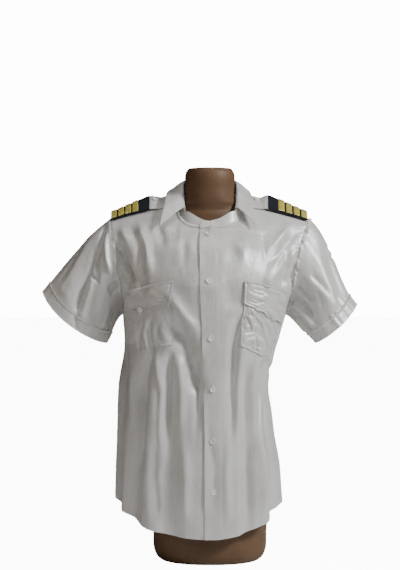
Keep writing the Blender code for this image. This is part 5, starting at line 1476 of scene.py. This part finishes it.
def strap_bed(side, x, across, lift):
    """A board `lift` above the shoulder, tilted to the front under the slide."""
    x, across, lift = np.broadcast_arrays(x, across, lift)
    reach = STRAP_WIDTH / 2
    middle, out = find_on_shoulder(side, x, STRAP_MIDDLE_Y + 0 * x)
    front, _ = find_on_shoulder(side, x, STRAP_MIDDLE_Y - reach + 0 * x)
    rear, _ = find_on_shoulder(side, x, STRAP_MIDDLE_Y + reach + 0 * x)
    share = (across / reach)[..., None]
    bend = (front + rear) / 2 - middle
    bed = middle + (rear - front) / 2 * share + bend * share**2
    ramp = ramp_of(SHOULDERS["right" if side == RIGHT else "left"])
    tilt = SHOWN_TILT * np.interp(x, ramp, (0, 1)) * (across / reach + 0.6) / 2
    return bed + out * (lift + np.maximum(tilt, 0))[..., None], out


def make_shoulders(finishes):
    """Straps, felt slides, their four braid bars and the strap buttons."""
    for name, place in SHOULDERS.items():
        lifts = (ramp_of(place), (STRAP_LOW, STRAP_HIGH))
        along = np.append(np.linspace(place.strap_end, 0.2140, 60), ramp_of(place))
        along = np.unique(np.round(along, 4))[:, None]
        rounding = 1 - np.clip((along - place.strap_end) / 0.016, 0, 1)
        half = STRAP_WIDTH / 2 * np.sqrt(1 - rounding**2 * 0.75)
        across = half * np.linspace(-1, 1, 21)
        strap = strap_bed(place.side, along, across, smooth_ramp(along, *lifts))
        piece = cloth("cloth_strap_" + name, [strap], finishes["cloth"])
        declare("shoulder_strap_" + name)
        paths = [
            trimmed(edge_path(strap, edge, 0.004), 0.003, 0.0) for edge in ("left", "right", "bottom")
        ]
        stitched("stitches_strap_" + name, paths, finishes["thread"])

        along = np.linspace(place.slide_start, place.slide_end, 40)[:, None]
        half = STRAP_WIDTH / 2 + SEAM + SLIDE_FELT / 2
        gap = CLOTH / 2 + 2 * SEAM + SLIDE_FELT / 2
        over = np.linspace(-1, 1, 19)
        round_edge = np.sqrt(np.clip(1 - np.abs(over) ** 12, 0, 1))
        across = half * np.concatenate((over, over[::-1]))
        height = STRAP_HIGH + np.concatenate((gap * round_edge, -gap * round_edge))
        keep = np.ones(38, bool)
        keep[(0, 18),] = False
        tube, _ = strap_bed(place.side, along, across[keep], height[keep])
        piece = cloth("felt_slide_" + name, [(tube, tube_normals(tube))], finishes["felt"],
                      FELT_SHELL, closed=True)
        declare("rank_slide_" + name)

        level = STRAP_HIGH + gap + SLIDE_FELT / 2 + 2 * SEAM + 0.0002
        for number, middle in enumerate(place.bars, 1):
            bar = bar_piece(
                f"braid_bar_{name}_{number}", place.side, middle, half, level, finishes["gold"]
            )
            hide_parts(f"rank_bar_{name}_{number}")

        around = place.button + np.array((-BUTTON_RADIUS, 0.0, BUTTON_RADIUS))
        bed, out = strap_bed(place.side, around, 0.0, np.interp(around, *lifts))
        slope = unit(bed[2] - bed[0])
        facing = unit(out[1] - slope * dot(out[1], slope))
        set_button("button_strap_" + name, bed[1] + facing * 0.0001, facing, slope, finishes)


def smooth_ramp(value, places, heights):
    share = smooth((value - places[0]) / (places[1] - places[0]))
    return heights[0] + (heights[1] - heights[0]) * share


def bar_piece(name, side, middle, half, level, finish):
    """A plump bar of braid, with fine ribs along it, its ends turned under the slide's edges."""
    lines = np.linspace(-1, 1, 15)
    crown = np.sqrt(np.clip(1 - np.abs(lines) ** 4, 0, 1))
    ribs = 0.00012 * np.cos(lines * math.pi * 7)
    over = np.linspace(-1, 1, 41)
    ends = np.sqrt(np.clip(1 - np.abs(over) ** 16, 0, 1))
    along = middle + lines[:, None] * BAR_HALF
    across = over[None, :] * (half - 0.0012)
    plump = 0.0011 * crown[:, None] + ribs[:, None] * crown[:, None]
    rise = level - 0.0004 + plump * ends[None, :]
    weave = 0.00005 * np.cos(over * half / 0.0011 * 2 * math.pi)[None, :]
    upper, out = strap_bed(side, along, across, rise + weave * crown[:, None])
    lower, _ = strap_bed(side, along, across, level - 0.0005 + 0 * rise)
    rows, columns = upper.shape[:2]
    top = grid_faces(rows, columns, False)
    number = np.arange(rows * columns).reshape(rows, columns)
    edge = np.concatenate(
        (number[0, :-1], number[:-1, -1], number[-1, ::-1][:-1], number[::-1, 0][:-1])
    )
    count = rows * columns
    rim = np.stack((np.roll(edge, -1), edge, edge + count, np.roll(edge, -1) + count), axis=1)
    vertices = np.concatenate((upper.reshape(-1, 3), lower.reshape(-1, 3)))
    faces = np.concatenate((top, top[:, ::-1] + count, rim))
    if turned_in(vertices, top, out):
        faces = faces[:, ::-1]
    uv = corner_places(upper, False).reshape(-1, 2)
    uv = np.concatenate((uv, uv))
    return mesh_piece(name, vertices, faces, finish, uv[faces])


def turn_matrix(facing, upward):
    """Columns across, up and out of a button."""
    out = unit(np.asarray(facing, float))
    up = np.asarray(upward, float)
    up = unit(up - out * dot(up, out))
    return np.stack((np.cross(up, out), up, out), axis=1)


def model_button(finish):
    """One four-hole shirt button lying on the XY plane, with a rolled rim and a dished middle."""
    bpy.ops.object.select_all(action="DESELECT")
    bpy.ops.mesh.primitive_cylinder_add(vertices=48, radius=BUTTON_RADIUS, depth=BUTTON_THICK)
    button = bpy.context.object
    bpy.ops.object.mode_set(mode="EDIT")
    shape = bmesh.from_edit_mesh(button.data)
    bpy.ops.mesh.select_all(action="DESELECT")
    bpy.ops.mesh.select_mode(type="FACE")
    for face in shape.faces:
        face.select = face.normal.z > 0.9
    bmesh.update_edit_mesh(button.data)
    bpy.ops.mesh.inset(thickness=0.0012)
    bpy.ops.mesh.inset(thickness=0.0006)
    bpy.ops.transform.translate(value=(0, 0, -0.0009))
    bpy.ops.mesh.inset(thickness=0.0006)
    bpy.ops.mesh.select_all(action="DESELECT")
    bpy.ops.object.mode_set(mode="OBJECT")
    for x in (-HOLE_OFFSET, HOLE_OFFSET):
        for y in (-HOLE_OFFSET, HOLE_OFFSET):
            bpy.ops.object.select_all(action="DESELECT")
            bpy.ops.mesh.primitive_cylinder_add(
                vertices=16, radius=HOLE_RADIUS, depth=0.01, location=(x, y, 0)
            )
            cutter = bpy.context.object
            select_only(button)
            hole = button.modifiers.new("hole", "BOOLEAN")
            hole.operation, hole.solver, hole.object = "DIFFERENCE", "EXACT", cutter
            bpy.ops.object.modifier_apply(modifier="hole")
            bpy.data.objects.remove(cutter)
    select_only(button)
    edge = button.modifiers.new("edge", "BEVEL")
    edge.width, edge.segments = 0.00025, 3
    edge.limit_method, edge.angle_limit = "ANGLE", math.radians(35)
    bpy.ops.object.modifier_apply(modifier="edge")
    bpy.ops.object.shade_smooth_by_angle(angle=math.radians(35))
    mesh = button.data
    mesh.materials.append(finish)
    bpy.data.objects.remove(button)
    return mesh


def sewn_threads(name, starts, ends, turn, middle, radius, finish):
    """Threads from starts to ends on the plane of a button."""
    starts, ends = np.array(starts) @ turn.T + middle, np.array(ends) @ turn.T + middle
    out = np.broadcast_to(turn[:, 2], starts.shape)
    mesh_piece(name, *stitch_mesh(starts, ends, out, radius), finish)


def set_button(solid, point, facing, upward, finishes):
    """A copy of the button sewn on with crossed thread."""
    turn = turn_matrix(facing, upward)
    middle = point + turn[:, 2] * (CLOTH / 2 + SEAM + 0.0002 + BUTTON_THICK / 2)
    mesh = finishes["button_mesh"].copy()
    places = np.empty(len(mesh.vertices) * 3)
    mesh.vertices.foreach_get("co", places)
    mesh.vertices.foreach_set("co", (places.reshape(-1, 3) @ turn.T + middle).reshape(-1))
    piece = placed("pearl_" + solid, mesh)
    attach(piece, "root")
    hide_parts(solid)
    starts, ends = [], []
    for side in (-1, 1):
        for strand in (-0.00018, 0.00018):
            starts.append((side * HOLE_OFFSET + strand, -0.00125, 0.0006))
            ends.append((side * HOLE_OFFSET + strand, 0.00125, 0.0006))
    sewn_threads("thread_" + solid, starts, ends, turn, middle, 0.00022, finishes["thread"])


def buttonhole(name, point, facing, upward, finishes, length=0.015):
    """A slit bound with close stitches, under its button."""
    turn = turn_matrix(facing, upward)
    middle = point + turn[:, 2] * (SHELL / 2 + 0.0001)
    places = np.arange(-length / 2, length / 2, 0.00042)
    starts, ends = [], []
    for side in (-1, 1):
        for place in places:
            starts.append((side * 0.0003, place, 0))
            ends.append((side * 0.0017, place, 0))
    for end in (-1, 1):
        for across in np.arange(-0.0018, 0.0019, 0.00045):
            starts.append((across, end * length / 2, 0))
            ends.append((across, end * (length / 2 + 0.0014), 0))
    sewn_threads(name, starts, ends, turn, middle, 0.00024, finishes["thread"])


def make_buttons(band, flaps, finishes):
    """The front buttons and the one on the right pocket, each over its buttonhole."""
    points, facing = band
    middle = points.shape[1] // 2
    line, out = points[:, middle], facing[:, middle]
    for number, height in enumerate(BUTTON_HEIGHTS, 1):
        row = int(np.argmin(np.abs(line[:, 2] - height)))
        place = taken_at(height, line[:, 2], line)
        set_button(f"button_front_{number}", place, out[row], (0, 0, 1), finishes)
        buttonhole(f"buttonhole_{number}", place, out[row], (0, 0, 1), finishes)
    grid, out = flaps["right"]
    middle = grid.shape[1] // 2
    row = 4
    point, facing = grid[row, middle], out[row, middle]
    set_button("button_pocket_right", point + facing * 0.0003, facing, (0, 0, 1), finishes)
    buttonhole("buttonhole_pocket", point, facing, (0, 0, 1), finishes, 0.014)


def make_form(finish):
    """The smooth torso, with a turned rim at its base and at the top of the neck."""
    heights = [section.z for section in FORM_SECTIONS]
    fine = np.unique(np.concatenate((heights, np.linspace(0.0, heights[-1], FORM_RINGS))))
    sizes = {
        column: curve_at(FORM_SECTIONS, column, fine, "z", FORM_PULL)[:, None]
        for column in Section._fields[1:]
    }
    steps = np.linspace(0, 2 * math.pi, FORM_AROUND, endpoint=False)
    across, deep = np.cos(steps)[None, :], np.sin(steps)[None, :]
    x = np.sign(across) * np.abs(across) ** (2 / sizes["square_x"]) * sizes["half_width"]
    y = np.sign(deep) * np.abs(deep) ** (2 / sizes["square_y"]) * sizes["half_depth"]
    rings = stack(x, y + sizes["middle_y"], fine[:, None])
    faces = grid_faces(*rings.shape[:2], True)
    last = rings.shape[0] * rings.shape[1]
    caps = [list(range(FORM_AROUND))[::-1], list(range(last - FORM_AROUND, last))]
    piece = mesh_piece("torso_form", rings.reshape(-1, 3), faces.tolist() + caps, finish, sharp=40)
    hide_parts("display_form")


def aimed(holder, place, aim):
    """Puts an object at a place, looking at another."""
    holder.location = place
    holder.rotation_euler = (Vector(aim) - Vector(place)).to_track_quat("-Z", "Y").to_euler()


def make_studio():
    """A pale floor and backdrop, soft lamps and the camera."""
    bpy.ops.object.select_all(action="DESELECT")
    bpy.ops.mesh.primitive_plane_add(size=24, location=(0, 0, 0))
    floor = bpy.context.object
    floor.name = "floor"
    paint, tree, shader = new_material("pale_floor", (0.90, 0.90, 0.90), 0.9)
    shader.inputs["Emission Color"].default_value = (1.0, 1.0, 1.0, 1)
    seen = tree.nodes.new("ShaderNodeLightPath").outputs["Is Camera Ray"]
    feed(tree, shader, Emission_Strength=maths(tree, "MULTIPLY", seen, SKY_SEEN * 0.8))
    floor.data.materials.append(paint)
    world = bpy.data.worlds.new("studio")
    world.use_nodes = True
    sky = world.node_tree
    sky.nodes["Background"].inputs["Color"].default_value = (1.0, 1.0, 1.0, 1)
    seen = sky.nodes.new("ShaderNodeLightPath").outputs["Is Camera Ray"]
    levels = {"Value": seen, "To Min": WORLD_LIGHT, "To Max": SKY_SEEN}
    feed(sky, sky.nodes["Background"], Strength=node(sky, "MapRange", levels).outputs[0])
    bpy.context.scene.world = world
    for lamp in LAMPS:
        data = bpy.data.lights.new(lamp.name, "AREA")
        data.shape, data.size, data.size_y = "RECTANGLE", lamp.width, lamp.height
        data.energy, data.color = lamp.power, lamp.colour
        aimed(placed(lamp.name, data), lamp.place, lamp.aim)
    camera = placed("camera", bpy.data.cameras.new("camera"))
    aimed(camera, CAMERA_PLACE, CAMERA_AIM)
    camera.data.lens = CAMERA_LENS
    bpy.context.scene.camera = camera


def main():
    weave, wrinkles, grain = weave_group(), wrinkle_group(), grain_group()
    finishes = {
        "cloth": cloth_material(weave, wrinkles),
        "thread": grained_material("thread", grain),
        "felt": grained_material("felt", grain),
        "gold": braid_material(weave, grain),
        "button_mesh": model_button(grained_material("pearl", grain)),
    }
    grids, band = make_fronts(finishes)
    _, backs = make_yoke_and_back(finishes)
    make_hem_stitches(grids, backs, finishes)
    flaps = make_pockets(grids, finishes)
    make_sleeves(finishes)
    make_collar(finishes)
    make_shoulders(finishes)
    make_buttons(band, flaps, finishes)
    make_form(grained_material("form", grain))
    make_studio()


main()
